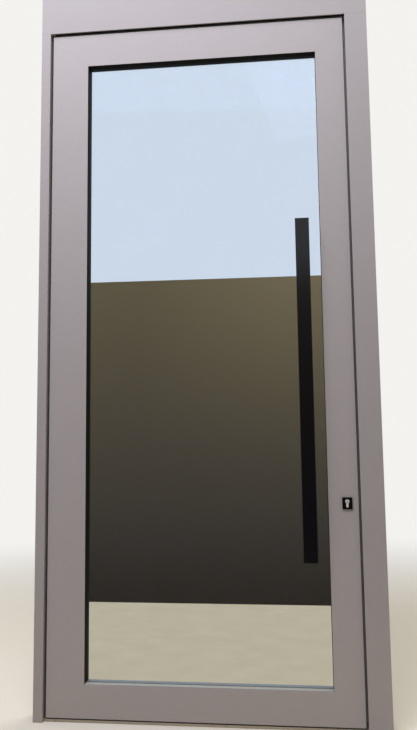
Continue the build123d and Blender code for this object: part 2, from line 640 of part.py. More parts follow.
def lock_case():
    """The mortise case: a thin box, open at the face plate, with the cylinder's hole."""
    case = case_block(0, FLANGE_EDGE)
    inner = (LOCK_X - CASE_BEHIND_CYLINDER + CASE_WALL, FLANGE_EDGE + RUN_OUT)
    depth = about(LOCK_Y, CASE_THICKNESS - 2 * CASE_WALL)
    case -= block(inner, depth, (LOCK_Z - CASE_BELOW + CASE_WALL, LOCK_Z + CASE_ABOVE - CASE_WALL))
    return case - cylinder_prism(about(LOCK_Y, CASE_THICKNESS + 2 * RUN_OUT), LOOSE)


def lock_faceplate():
    """The lock's face plate on the leaf's edge."""
    wide, tall, thick = FACEPLATE
    plate = block((FLANGE_EDGE, FLANGE_EDGE + thick), about(LOCK_Y, wide), about(LOCK_Z, tall))
    return plate - bolt_passage((FLANGE_EDGE - RUN_OUT, FLANGE_EDGE + thick + RUN_OUT))


def deadbolt():
    """The bolt, drawn back flush with the face plate, with its front edges bevelled.

    Thrown by its travel, it still has its guided length in the case.
    """
    back = BOLT_FRONT - BOLT_TRAVEL - BOLT_GUIDED
    bolt = block((back, BOLT_FRONT), about(LOCK_Y, BOLT_THICKNESS), about(BOLT_Z, BOLT_HEIGHT))
    return chamfer(bolt.edges().group_by(Axis.X)[-1], RUN_OUT)


def cylinder_prism(y, grow):
    """The cylinder's profile, a round over a narrow stem, along Y and grown all round."""
    radius, half = CYLINDER_RADIUS + grow, CYLINDER_STEM / 2 + grow
    foot = CYLINDER_RADIUS - CYLINDER_HEIGHT + CYLINDER_STEM / 2
    prism = rod(LOCK_X, y, LOCK_Z, radius)
    prism += block(about(LOCK_X, 2 * half), y, (LOCK_Z + foot, LOCK_Z))
    return prism + rod(LOCK_X, y, LOCK_Z + foot, half)


def cylinder_ends():
    """How far the cylinder runs outwards and inwards, just proud of both escutcheons."""
    proud = ESCUTCHEON_THICKNESS + CYLINDER_PROUD
    return (LEAF_OUT - proud, LEAF_IN + proud)


def cylinder_housing():
    """The lock cylinder's fixed body, with the plug's bore and the cam's slot."""
    ends = cylinder_ends()
    body = cylinder_prism(ends, 0)
    body -= rod(LOCK_X, (ends[0] - RUN_OUT, ends[1] + RUN_OUT), LOCK_Z, PLUG_RADIUS + RUNNING)
    reach = CAM_REACH + LOOSE
    return body - block(about(LOCK_X, 2 * reach), about(LOCK_Y, CAM_SLOT), about(LOCK_Z, 2 * reach))


def key_plug():
    """The outer plug, with its keyway."""
    out = cylinder_ends()[0] + PLUG_END
    plug = rod(LOCK_X, (out, LOCK_Y - CAM_SLOT / 2), LOCK_Z, PLUG_RADIUS)
    wide, tall, deep = KEYWAY
    low = LOCK_Z - PLUG_RADIUS - RUN_OUT
    return plug - block(about(LOCK_X, wide), (out - RUN_OUT, out + deep), (low, low + tall))


def lock_cam():
    """The cam that throws the bolt: a hub with one finger, pointing down at rest."""
    depth = about(LOCK_Y, CAM_WIDTH)
    hub = rod(LOCK_X, depth, LOCK_Z, CAM_HUB_RADIUS)
    finger = block(about(LOCK_X, CAM_FINGER), depth, (LOCK_Z - CAM_REACH, LOCK_Z))
    tip = finger & rod(LOCK_X, depth, LOCK_Z, CAM_REACH)
    return hub + tip


def thumb_turn():
    """The inner knob on its shaft, which carries the cam."""
    end = cylinder_ends()[1]
    long, thick, deep = TURN_KNOB
    shaft = rod(LOCK_X, (LOCK_Y + CAM_WIDTH / 2, end + TURN_NECK), LOCK_Z, PLUG_RADIUS)
    start = end + TURN_NECK
    knob = block(about(LOCK_X, thick), (start, start + deep), about(LOCK_Z, long))
    return shaft + chamfer(knob.edges(), KNOB_BEVEL)


def escutcheon(y, shown):
    """A square-edged cover plate round the cylinder's profile."""
    wide, tall = ESCUTCHEON
    plate = block(about(LOCK_X, wide), y, about(PLATE_Z, tall))
    rim = plate.edges().group_by(Axis.Y)[-1 if shown > 0 else 0]
    plate = chamfer(rim, ESCUTCHEON_BEVEL)
    return plate - cylinder_prism((y[0] - RUN_OUT, y[1] + RUN_OUT), LOOSE)


def escutcheon_outer():
    return escutcheon((LEAF_OUT - ESCUTCHEON_THICKNESS, LEAF_OUT), -1)


def escutcheon_inner():
    return escutcheon((LEAF_IN, LEAF_IN + ESCUTCHEON_THICKNESS), 1)


def pull_bar(back, outward):
    """A flat tube that stands off the pane: outward is 1 or -1 along Y."""
    middle = back + outward * BAR_THICKNESS / 2
    tube = RectangleRounded(BAR_WIDTH, BAR_THICKNESS, BAR_CORNER)
    tube -= Rectangle(BAR_WIDTH - 2 * BAR_WALL, BAR_THICKNESS - 2 * BAR_WALL)
    return Pos(BAR_X, middle, BAR_Z[0]) * extrude(tube, BAR_LENGTH)


def bar_backs():
    """The depths of the two bars' backs, outside and inside."""
    return GLASS_OUT + BAR_STAND, GLASS_IN - BAR_STAND


def pull_bar_outer():
    return pull_bar(bar_backs()[0], -1)


def pull_bar_inner():
    return pull_bar(bar_backs()[1], 1)


def bar_caps():
    """The end plates of both bars, flush in the tubes' ends."""
    caps = []
    for back, outward in zip(bar_backs(), (-1, 1)):
        middle = back + outward * BAR_THICKNESS / 2
        x = about(BAR_X, BAR_WIDTH - 2 * BAR_WALL - 2 * FIT)
        y = about(middle, BAR_THICKNESS - 2 * BAR_WALL - 2 * FIT)
        caps += [block(x, y, (BAR_Z[0], BAR_Z[0] + BAR_CAP)), block(x, y, (BAR_Z[1] - BAR_CAP, BAR_Z[1]))]
    return caps


def bar_posts():
    """The round posts of the bars: the outer ones have a threaded tail, the inner ones take it."""
    back_out, back_in = bar_backs()
    foot_out, foot_in = GLASS_OUT - BUSH_PROUD, GLASS_IN + BUSH_PROUD
    reach = GLASS_IN + STUD_DEPTH
    posts = []
    for z in POST_HEIGHTS:
        post = rod(BAR_X, (back_out, foot_out), z, POST_RADIUS)
        posts.append(post + rod(BAR_X, (foot_out, reach), z, STUD_RADIUS))
        bore = rod(BAR_X, (GLASS_IN, reach + RUN_OUT), z, STUD_RADIUS + TOUCH)
        posts.append(rod(BAR_X, (foot_in, back_in), z, POST_RADIUS) - bore)
    return posts


def glass_bushes():
    """The soft sleeves in the pane's holes, just proud of it, that the posts bear on."""
    ends = (GLASS_OUT - BUSH_PROUD, GLASS_IN + BUSH_PROUD)
    return [rod(BAR_X, ends, z, GLASS_HOLE_RADIUS - TOUCH) - rod(BAR_X, ends, z, STUD_RADIUS + TOUCH)
            for z in POST_HEIGHTS]


PIECES = [
    jamb_left, jamb_right, frame_head, threshold, joint_block_left, joint_block_right, head_bolts,
    frame_seal_left, frame_seal_right, strike_plate,
    floor_pivot_plate, floor_pivot_bearing, top_pivot_housing, top_pivot_pin,
    stile_left, stile_right, rail_top, rail_bottom,
    cleat_top_left, cleat_top_right, cleat_bottom_left, cleat_bottom_right,
    glass_pane, outer_gasket, inner_gasket, bead_top, bead_bottom, bead_left, bead_right,
    setting_blocks, top_brushes, bottom_brushes, bottom_pivot_shoe, top_pivot_shoe,
    lock_case, lock_faceplate, cylinder_housing, escutcheon_outer, escutcheon_inner,
    pull_bar_outer, pull_bar_inner, bar_caps, bar_posts, glass_bushes,
    deadbolt, key_plug, thumb_turn, lock_cam,
]

os.makedirs("parts", exist_ok=True)
for piece in PIECES:
    made = piece()
    solid = Compound(children=made) if isinstance(made, list) else made
    export_step(solid, f"parts/{piece.__name__}.step")
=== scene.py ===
"""The looks of a tall framed glass entrance door, built round its packed frame.

X runs to the right as seen from outside, Y into the building and Z up, in metres.
Shapes are worked out with numpy as arrays, and every finish is made of shader nodes.
"""

import math

import bmesh
import bpy
import numpy as np
from bpy.props import FloatProperty, FloatVectorProperty, IntProperty, PointerProperty
from mathutils import Matrix, Vector


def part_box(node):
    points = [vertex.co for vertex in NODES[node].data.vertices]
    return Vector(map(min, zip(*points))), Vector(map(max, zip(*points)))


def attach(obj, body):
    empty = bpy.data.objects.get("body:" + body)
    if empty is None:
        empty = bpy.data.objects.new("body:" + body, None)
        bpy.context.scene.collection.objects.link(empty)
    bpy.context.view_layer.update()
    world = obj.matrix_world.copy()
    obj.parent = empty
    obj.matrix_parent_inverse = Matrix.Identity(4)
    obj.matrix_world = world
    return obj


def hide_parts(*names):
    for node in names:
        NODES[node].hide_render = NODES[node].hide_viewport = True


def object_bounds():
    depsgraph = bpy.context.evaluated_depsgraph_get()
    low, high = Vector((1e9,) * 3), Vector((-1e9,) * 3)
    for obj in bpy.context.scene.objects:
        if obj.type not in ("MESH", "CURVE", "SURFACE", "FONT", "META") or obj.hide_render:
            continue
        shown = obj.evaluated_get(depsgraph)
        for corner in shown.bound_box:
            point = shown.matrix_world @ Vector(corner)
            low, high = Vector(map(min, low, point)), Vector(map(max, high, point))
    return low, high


bl_info = {
    "name": "Glass entrance door",
    "version": (1, 0, 0),
    "blender": (4, 5, 0),
    "location": "3D View > Sidebar > Door",
    "description": "Finishes, caps, seals, trim, brushes, screws and joint lines of a framed pivot door",
    "category": "Object",
}

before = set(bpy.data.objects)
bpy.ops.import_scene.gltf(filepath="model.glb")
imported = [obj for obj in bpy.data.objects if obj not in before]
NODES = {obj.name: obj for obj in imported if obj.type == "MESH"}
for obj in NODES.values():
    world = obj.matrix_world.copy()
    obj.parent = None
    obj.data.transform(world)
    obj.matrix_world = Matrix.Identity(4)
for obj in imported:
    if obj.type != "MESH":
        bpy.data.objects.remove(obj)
CAD_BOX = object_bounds()

# Places read from the frame
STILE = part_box("stile_left")
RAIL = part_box("rail_top")
LEAF_LOW = Vector((RAIL[0].x, STILE[0].y, STILE[0].z))
LEAF_HIGH = Vector((RAIL[1].x, STILE[1].y, STILE[1].z))
OPEN_LOW = Vector((STILE[1].x, 0.0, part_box("rail_bottom")[1].z))
OPEN_HIGH = Vector((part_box("stile_right")[0].x, 0.0, RAIL[0].z))
OUTER_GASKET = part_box("outer_gasket")
INNER_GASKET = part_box("inner_gasket")
BEAD_LOW, BEAD_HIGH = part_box("bead_bottom")[0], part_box("bead_top")[1]
HEAD_LOW, HEAD_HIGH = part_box("frame_head")
JAMB_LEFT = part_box("jamb_left")
JAMB_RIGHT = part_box("jamb_right")
DOORWAY = (JAMB_LEFT[1].x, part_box("frame_seal_right")[1].x)

# Sections that the frame's boxes don't show, and how the brushes' tufts vary
GASKET_ROOT = (0.0064, 0.0036)
BRUSH_BASE_HALF, BRUSH_SHOULDER = 0.00395, 0.8
INNER_BRUSH_START = 0.014
BRUSH_LINES = (-0.0016, 0.0, 0.0016)
BRUSH_SEED = 7
TUFT_LEAN, TUFT_SHORTEST = 0.35, 0.94
KNOB_DEPTH = 0.020
HEAD_WALL, HEAD_CHAMBERS = 0.003, 3

# Powers of the superellipses: 2 is round, and more is squarer
ROUND, KNOB_SQUARENESS, CAP_SQUARENESS = 2.0, 5.0, 40.0

# The camera, solved from the leaf's outline in a picture of 417 by 730 pixels
PICTURE_WIDE, PICTURE_TALL = 417, 730
FOCAL_PIXELS = 812.04
PRINCIPAL_PIXEL = (208.5, 309.0)
SENSOR = 36.0
CLIP = (0.05, 200.0)
CAMERA_PLACE = Vector((0.453, -3.562, 1.296))
CAMERA_TURN = (0.12225, 0.12569, -0.01246)

# The stage: the floor fades between two distances, and the card is paler high up on the right
FLOOR_CORE, FLOOR_REACH = 0.5, 60.0
FLOOR_RINGS, FLOOR_SPOKES = 24, 96
FLOOR_HEIGHT, FLOOR_SHARES = -0.0005, (0.97, 1.0)
FLOOR_FADE = (1.6, 5.5)
CARD_HALF = 9.0
CARD_POWER, GLOW_POWER, GLOW_ACROSS, GLOW_TONE = 1.2, 3.0, (-0.7, 0.3), 1.4
GROUND_CARD_HEIGHT, GROUND_SHARES = 0.001, (0.95, 1.04)
PLAIN_LIGHT = (1.0, 0.995, 0.98)

# Finishes: the middle of a noise's range, where most of its values lie, and the colours laid over
MIDDLE = (0.3, 0.7)
DUST_REACH = 1.1
DUST_TONE = (0.42, 0.385, 0.335)
# The ledge tone is partly dust and partly painted sky light on the trim's faces that look up
LEDGE_DUST_AND_LIGHT_TONE = (0.52, 0.50, 0.44)
WORN_TONE = (0.09, 0.088, 0.085)
FILM_TONE = (0.50, 0.50, 0.48)
# Where the painted shade inside the keyway starts, and over what depth it fades in
KEYWAY_SHADE_START, KEYWAY_SHADE_FADE = 0.0001, 0.0004

# Shares of a finish's own colour
FRAME_TONE, BEAD_TONE, SEALER_TONE = 0.93, 0.97, 0.62
MOTTLE_SHARES, BRUSHED_SHARES = (0.975, 1.025), (0.86, 1.06)
# The edge tone is a painted highlight along the paint's rounded edges
CLOUD_COVER, CLOUD_TONE, EDGE_HIGHLIGHT_TONE = 0.35, 0.94, 1.35
# The keyway tone darkens the key plug as painted shade
METAL_MARK_TONE, SOFT_MARK_TONE, KEYWAY_SHADE_TONE = 0.7, 1.6, 0.04


def colour(name, value, what):
    """A colour property with its default in linear light."""
    return FloatVectorProperty(name=name, description=what, subtype="COLOR", size=3, min=0.0, max=1.0,
                               default=value)


def share(name, value, what):
    """A number from 0 to 1."""
    return FloatProperty(name=name, description=what, default=value, min=0.0, max=1.0, subtype="FACTOR")


def length(name, value, what):
    """A length in metres."""
    return FloatProperty(name=name, description=what, default=value, min=0.0, unit="LENGTH", precision=5)


def power(name, value, what):
    """A lamp's power in watts."""
    return FloatProperty(name=name, description=what, default=value, min=0.0, unit="POWER")


class PaintFinish(bpy.types.PropertyGroup):
    """The satin powder coat of the frame and the leaf."""
    tone: colour("Tone", (0.335, 0.296, 0.288), "Colour of the powder coat")
    roughness: share("Roughness", 0.42, "How far the coat scatters its reflections")
    peel: length("Peel", 0.0012, "Width of the fine dimples in the coat")
    # The paler edges are a painted highlight, where light would catch the rounded edges
    edge: length("Edge", 0.0015, "Width of the paler rubbed edges")
    dust: share("Dust", 0.16, "How much dust lies on the lower part")


class GlassFinish(bpy.types.PropertyGroup):
    """The tinted, mirror-coated pane."""
    tint: colour("Tint", (0.65, 0.73, 0.86), "Colour that the coating reflects")
    coating: share("Coating", 0.93, "Share of the light that the coating handles as a mirror")
    roughness: share("Roughness", 0.004, "How far the pane scatters its reflections")
    wave: length("Wave", 0.70, "Width of the slight waves in the pane")


class MetalFinish(bpy.types.PropertyGroup):
    """The bars, the lock and the hidden metal pieces."""
    black: colour("Black", (0.0024, 0.0024, 0.0046), "Colour of the black coat on the bars and escutcheons")
    nickel: colour("Nickel", (0.80, 0.79, 0.745), "Colour of the lock cylinder")
    steel: colour("Steel", (0.46, 0.46, 0.47), "Colour of the pivots, plates and screws")
    mill: colour("Mill aluminium", (0.58, 0.59, 0.60), "Colour of the corner cleats and joint blocks")
    sill: colour("Sill", (0.42, 0.36, 0.28), "Colour of the bronze anodised threshold")


class SoftFinish(bpy.types.PropertyGroup):
    """The gaskets, brushes and plastic pieces."""
    rubber: colour("Rubber", (0.007, 0.007, 0.0075), "Colour of the gaskets and seals")
    pile: colour("Pile", (0.008, 0.008, 0.009), "Colour of the brush seals")
    nylon: colour("Nylon", (0.035, 0.035, 0.037), "Colour of the setting blocks and sleeves")


class FineShapes(bpy.types.PropertyGroup):
    """Sizes of the small shapes that are added to the frame."""
    line_width: length("Joint line width", 0.0005, "Width of the sealed joint lines")
    line_height: length("Joint line height", 0.00005, "How far the sealed joint lines stand out")
    screw_radius: length("Screw head radius", 0.0042, "Radius of the small screw heads")
    screw_height: length("Screw head height", 0.0006, "How far a screw head stands out")
    screw_inset: length("Screw inset", 0.012, "How far a screw lies from its plate's end")
    tuft: length("Tuft", 0.0007, "Half the thickness of one tuft of the brush seals")
    tuft_pitch: length("Tuft pitch", 0.0032, "Distance between the tufts of the brush seals")
    lip: length("Gasket lip", 0.002, "How far the gasket's rounded lip shows inside the opening")
    trim: length("Trim", 0.0008, "Thickness of the black trim round the pane")
    # The black strip under the head is painted shade over the head's underside
    head_shade_strip: length("Head trim", 0.00025, "Thickness of the black trim under the head")
    trim_back: length("Trim set-back", 0.0016, "How far the pane's trim lies behind the leaf's face")
    head_shade_strip_back: length("Head trim set-back", 0.0065, "How far the head's trim lies behind its face")
    cap_thickness: length("Cap thickness", 0.002, "Thickness of the caps in the head's ends")
    cap_gap: length("Cap gap", 0.0003, "Gap round each cap, and how far it lies inside the head's end")
    knob_bevel: length("Knob rounding", 0.0025, "Radius of the knob's rounded edges")
    steps: IntProperty(name="Steps", description="Steps round a rounded profile", default=10, min=4, max=48)


class StageSettings(bpy.types.PropertyGroup):
    """Floor, lamps and the sky that the pane mirrors."""
    floor: colour("Floor", (0.78, 0.71, 0.60), "Colour of the floor")
    ground: colour("Mirrored ground", (0.77, 0.63, 0.41), "Colour of the ground that the pane mirrors")
    backdrop: colour("Backdrop", (0.90, 0.89, 0.865), "Colour behind the object")
    sky: colour("Sky", (0.97, 1.0, 1.0), "Colour of the soft light overhead that glossy surfaces show")
    card_top: colour("Card top", (0.165, 0.122, 0.057), "Colour of the mirrored card's upper edge")
    card_foot: colour("Card foot", (0.035, 0.0255, 0.016), "Colour of the mirrored card's lower edge")
    card_distance: length("Card distance", 2.07, "How far the card stands in front of the frame")
    card_height: length("Card height", 2.235, "Height of the card")
    key_power: power("Key power", 218.0, "Power of the large lamp overhead in front")
    back_power: power("Back power", 110.0, "Power of the large lamp overhead behind")
    side_power: power("Side power", 27.0, "Power of each lamp beside the frame")
    key_tone: colour("Key tone", (0.82, 0.865, 1.0), "Colour of the lamp overhead in front")
    fill_tone: colour("Fill tone", (1.0, 0.97, 0.84), "Colour of the even light all round")
    fill_strength: FloatProperty(name="Fill", description="Strength of the even light all round",
                                 default=0.195, min=0.0)


SETTINGS = {"door_paint": PaintFinish, "door_glass": GlassFinish, "door_metal": MetalFinish,
            "door_soft": SoftFinish, "door_fine": FineShapes, "door_stage": StageSettings}


# Shader building blocks

class Graph:
    """A short way to add nodes to one tree and to link them."""

    def __init__(self, tree):
        self.tree = tree

    def node(self, kind, **values):
        """A node with its fields set, where a name with a capital letter is one of its sockets."""
        made = self.tree.nodes.new(kind)
        for name, value in values.items():
            if name[0].isupper():
                self.feed(made.inputs[name.replace("_", " ")], value)
            else:
                setattr(made, name, value)
        return made

    def feed(self, socket, value):
        """Link a socket to another one, or set its value."""
        if isinstance(value, bpy.types.NodeSocket):
            self.tree.links.new(value, socket)
        else:
            socket.default_value = value

    def feed_all(self, sockets, *values):
        """Feed the first sockets in their order."""
        for socket, value in zip(sockets, values):
            self.feed(socket, value)

    def math(self, operation, *values, clamp=False):
        """The result of one operation."""
        made = self.node("ShaderNodeMath", operation=operation, use_clamp=clamp)
        self.feed_all(made.inputs, *values)
        return made.outputs[0]

    def times(self, first, *others):
        """The product of several values."""
        for value in others:
            first = self.math("MULTIPLY", first, value)
        return first

    def plus(self, first, second):
        """The sum of two values."""
        return self.math("ADD", first, second)

    def mix(self, factor, first, second):
        """The first colour where the factor is 0, and the second where it is 1."""
        made = self.node("ShaderNodeMix", data_type="RGBA", Factor=factor)
        self.feed(made.inputs["A"], rgba(first))
        self.feed(made.inputs["B"], rgba(second))
        return made.outputs["Result"]

    def blend(self, factor, first, second):
        """The same for two shaders."""
        made = self.node("ShaderNodeMixShader")
        self.feed_all(made.inputs, factor, first, second)
        return made.outputs[0]

    def noise(self, vector, scale, detail=2.0, roughness=0.5):
        """Soft noise with about scale patches to a metre."""
        made = self.node("ShaderNodeTexNoise", Vector=vector, Scale=scale, Detail=detail,
                         Roughness=roughness)
        return made.outputs["Fac"]

    def spread(self, value, low, high, to_low=0.0, to_high=1.0):
        """A value moved from one range to another, and held inside it."""
        made = self.node("ShaderNodeMapRange", clamp=True)
        self.feed_all(made.inputs, value, low, high, to_low, to_high)
        return made.outputs[0]

    def varied(self, value, base, shares, middle=MIDDLE):
        """A colour that runs between two shares of itself as a value crosses its middle range."""
        darker, paler = (scaled(base, part) for part in shares)
        return self.mix(self.spread(value, *middle), darker, paler)

    def stretch(self, vector, scale):
        """Coordinates times a number along each axis."""
        return self.node("ShaderNodeMapping", Vector=vector, Scale=scale).outputs["Vector"]

    def bump(self, height, distance, strength=1.0):
        """The normal of a surface that a height from 0 to 1 lifts by a distance in metres."""
        made = self.node("ShaderNodeBump", Strength=strength, Distance=distance, Height=height)
        return made.outputs["Normal"]


def rgba(value):
    """Three numbers as a colour with its alpha, and a socket as it is."""
    return value if isinstance(value, bpy.types.NodeSocket) else (*value[:3], 1.0)


def effect(name):
    """The node group of an effect, built once and then reused."""
    if name in bpy.data.node_groups:
        return bpy.data.node_groups[name]
    inputs, outputs, build = EFFECTS[name]
    tree = bpy.data.node_groups.new(name, "ShaderNodeTree")
    for label, default in inputs.items():
        kind = VECTOR if default is None else NUMBER
        socket = tree.interface.new_socket(name=label, in_out="INPUT", socket_type=kind)
        if default is not None:
            socket.default_value = default
    for label in outputs:
        tree.interface.new_socket(name=label, in_out="OUTPUT", socket_type=NUMBER)
    graph = Graph(tree)
    source = tree.nodes.new("NodeGroupInput").outputs
    sink = tree.nodes.new("NodeGroupOutput").inputs
    for label, value in build(graph, source).items():
        graph.feed(sink[label], value)
    return tree


def build_peel(graph, source):
    """Fine dimples: noise as wide as Width, a slower one that varies them, and a broad cloud."""
    scale = graph.math("DIVIDE", 1.0, source["Width"])
    fine = graph.noise(source["Vector"], scale)
    slow = graph.noise(source["Vector"], graph.times(scale, 0.17), detail=1.0)
    cloud = graph.noise(source["Vector"], 7.0, detail=3.0, roughness=0.55)
    return {"Height": graph.plus(fine, graph.times(slow, 0.6)), "Mottle": slow, "Cloud": cloud}


def build_dust(graph, source):
    """Dust: more of it low down, broken by noise, and a fuller cover on faces that look up; on the pane's
    trim that cover is partly painted sky light.

    The cloud has patches about a third of a metre wide, and the grit specks of about 4 mm. The share
    fallen on upright faces is a power of the height below Reach, times both noises.
    """
    place = graph.node("ShaderNodeSeparateXYZ", Vector=source["Vector"])
    geometry = graph.node("ShaderNodeNewGeometry")
    normal = graph.node("ShaderNodeSeparateXYZ", Vector=geometry.outputs["Normal"])
    low = graph.spread(place.outputs["Z"], 0.0, source["Reach"], to_low=1.0, to_high=0.0)
    up = graph.spread(normal.outputs["Z"], 0.5, 0.95)
    cloud = graph.spread(graph.noise(source["Vector"], 3.1, detail=5.0, roughness=0.62), 0.32, 0.72)
    grit = graph.spread(graph.noise(source["Vector"], 240.0), 0.42, 0.75)
    broken = graph.times(cloud, graph.plus(0.55, graph.times(grit, 0.45)))
    fallen = graph.times(graph.math("POWER", low, 1.6), broken, source["Amount"])
    cover = graph.times(source["Ledge"], graph.plus(0.80, graph.times(grit, 0.20)))
    return {"Mask": graph.math("MAXIMUM", fallen, graph.times(up, cover), clamp=True)}


def build_brushed(graph, source):
    """Brushed lines: noise stretched along Z, in two widths."""
    wide = graph.noise(graph.stretch(source["Vector"], (900.0, 900.0, 22.0)), 1.0)
    fine = graph.noise(graph.stretch(source["Vector"], (2600.0, 2600.0, 60.0)), 1.0, detail=1.0)
    return {"Lines": graph.plus(graph.times(wide, 0.6), graph.times(fine, 0.4))}


def build_grain(graph, source):
    """Even small grain with a few larger marks."""
    fine = graph.noise(source["Vector"], source["Scale"], detail=3.0, roughness=0.6)
    marks = graph.noise(source["Vector"], graph.times(source["Scale"], 0.06), detail=4.0, roughness=0.6)
    return {"Height": fine, "Marks": marks}


def build_edges(graph, source):
    """Edges: where a rounded normal leaves the flat one, from the dot product of the two."""
    rounded = graph.node("ShaderNodeBevel", samples=4, Radius=source["Radius"])
    flat = graph.node("ShaderNodeNewGeometry").outputs["Normal"]
    match = graph.node("ShaderNodeVectorMath", operation="DOT_PRODUCT")
    graph.feed_all(match.inputs, rounded.outputs[0], flat)
    return {"Mask": graph.spread(match.outputs["Value"], 0.995, 0.80)}


VECTOR, NUMBER = "NodeSocketVector", "NodeSocketFloat"

# Each effect's inputs with their defaults, where None stands for coordinates, then its outputs
EFFECTS = {
    "Powder peel": ({"Vector": None, "Width": 0.0012}, ("Height", "Mottle", "Cloud"), build_peel),
    "Settled dust": ({"Vector": None, "Reach": 0.9, "Amount": 0.3, "Ledge": 0.5}, ("Mask",), build_dust),
    "Brushed lines": ({"Vector": None}, ("Lines",), build_brushed),
    "Fine grain": ({"Vector": None, "Scale": 900.0}, ("Height", "Marks"), build_grain),
    "Rounded edges": ({"Radius": 0.0006}, ("Mask",), build_edges),
}


def place_effect(graph, name, **values):
    """Put an effect's group in a material, with its own values, and return its outputs."""
    return graph.node("ShaderNodeGroup", node_tree=effect(name), **values).outputs


class Finish:
    """A new material with its surface shader and the object's own coordinates."""

    def __init__(self, name, **constants):
        self.material = bpy.data.materials.new(name)
        self.material.use_nodes = True
        tree = self.material.node_tree
        tree.nodes.clear()
        self.graph = Graph(tree)
        self.surface = self.graph.node("ShaderNodeBsdfPrincipled")
        self.output = self.graph.node("ShaderNodeOutputMaterial", Surface=self.surface.outputs[0])
        self.place = self.graph.node("ShaderNodeTexCoord").outputs["Object"]
        for label, value in constants.items():
            self.set(label.replace("_", " "), value)

    def set(self, label, value):
        """Feed one socket of the surface shader."""
        self.graph.feed(self.surface.inputs[label], rgba(value) if "Color" in label else value)

    def effect(self, name, **values):
        """Put an effect in this material, over the object's own coordinates."""
        return place_effect(self.graph, name, Vector=self.place, **values)


def scaled(value, factor):
    """A colour times a number."""
    return tuple(part * factor for part in value[:3])


def paint(name, settings, tone=1.0):
    """Satin powder coat: fine dimples, a slight mottle, a painted highlight along the edges, and dust low
    down.
    """
    finish = Finish(name, Metallic=0.0, IOR=1.5, Coat_Weight=0.10, Coat_Roughness=0.24)
    graph = finish.graph
    peel = finish.effect("Powder peel", Width=settings.peel)
    dust = finish.effect("Settled dust", Reach=DUST_REACH, Amount=settings.dust, Ledge=0.45)["Mask"]
    # Painted highlight: the coat turns paler along its rounded edges
    edge = place_effect(graph, "Rounded edges", Radius=settings.edge)["Mask"]
    base = scaled(settings.tone, tone)
    mottled = graph.varied(peel["Mottle"], base, MOTTLE_SHARES)
    cloud = graph.spread(peel["Cloud"], *MIDDLE, to_high=CLOUD_COVER)
    clouded = graph.mix(cloud, mottled, scaled(base, CLOUD_TONE))
    highlighted = graph.mix(edge, clouded, scaled(base, EDGE_HIGHLIGHT_TONE))
    finish.set("Base Color", graph.mix(dust, highlighted, DUST_TONE))
    finish.set("Roughness", graph.plus(settings.roughness, graph.times(dust, 0.25)))
    finish.set("Normal", graph.bump(peel["Height"], distance=0.00003, strength=0.6))
    return finish.material


def tinted_glass(settings):
    """Mirror-coated glass: a plain share of mirror, the rest dark glass, and slow waves."""
    finish = Finish("tinted_glass", Metallic=settings.coating, Transmission_Weight=1.0, IOR=1.52)
    graph = finish.graph
    wave = graph.noise(graph.stretch(finish.place, (1.0, 1.0, 0.4)), 1.0 / settings.wave, detail=0.0)
    film = graph.spread(graph.noise(finish.place, 4.0, detail=3.0, roughness=0.55), 0.35, 0.75)
    finish.set("Base Color", graph.mix(graph.times(film, 0.03), settings.tint, FILM_TONE))
    finish.set("Roughness", graph.plus(settings.roughness, graph.times(film, 0.004)))
    finish.set("Normal", graph.bump(wave, distance=0.0004, strength=0.5))
    return finish.material


def black_coat(settings):
    """Satin black coat on metal: fine grain, worn a little at the edges."""
    finish = Finish("black_coat", Metallic=0.0, IOR=1.5, Specular_IOR_Level=0.4)
    graph = finish.graph
    grain = finish.effect("Fine grain", Scale=1400.0)
    edges = place_effect(graph, "Rounded edges", Radius=0.0005)["Mask"]
    worn = graph.times(edges, graph.spread(grain["Marks"], 0.5, 0.75))
    finish.set("Base Color", graph.mix(graph.times(worn, 0.35), settings.black, WORN_TONE))
    finish.set("Roughness", graph.spread(grain["Marks"], *MIDDLE, to_low=0.18, to_high=0.26))
    finish.set("Normal", graph.bump(grain["Height"], distance=0.00002, strength=0.5))
    return finish.material


def metal(name, base, low, high, lines=0.00002, metallic=1.0, inside=None):
    """Bare metal: brushed lines with a roughness from low to high along them, and a few darker marks.

    Where inside is given, the metal turns dark from that place on along Y: painted shade deep inside the
    keyway.
    """
    finish = Finish(name, Metallic=metallic)
    graph = finish.graph
    brushed = finish.effect("Brushed lines")["Lines"]
    grain = finish.effect("Fine grain", Scale=300.0)
    tone = graph.varied(brushed, base, BRUSHED_SHARES, middle=(0.35, 0.65))
    tone = graph.mix(graph.spread(grain["Marks"], 0.55, 0.8), tone, scaled(base, METAL_MARK_TONE))
    # Painted shade: darker from inside on along Y, as deep in a keyway
    if inside is not None:
        depth = graph.node("ShaderNodeSeparateXYZ", Vector=finish.place).outputs["Y"]
        tone = graph.mix(graph.spread(depth, inside, inside + KEYWAY_SHADE_FADE), tone, scaled(base, KEYWAY_SHADE_TONE))
    finish.set("Base Color", tone)
    finish.set("Roughness", graph.spread(brushed, *MIDDLE, to_low=low, to_high=high))
    finish.set("Normal", graph.bump(brushed, distance=lines, strength=0.7))
    return finish.material


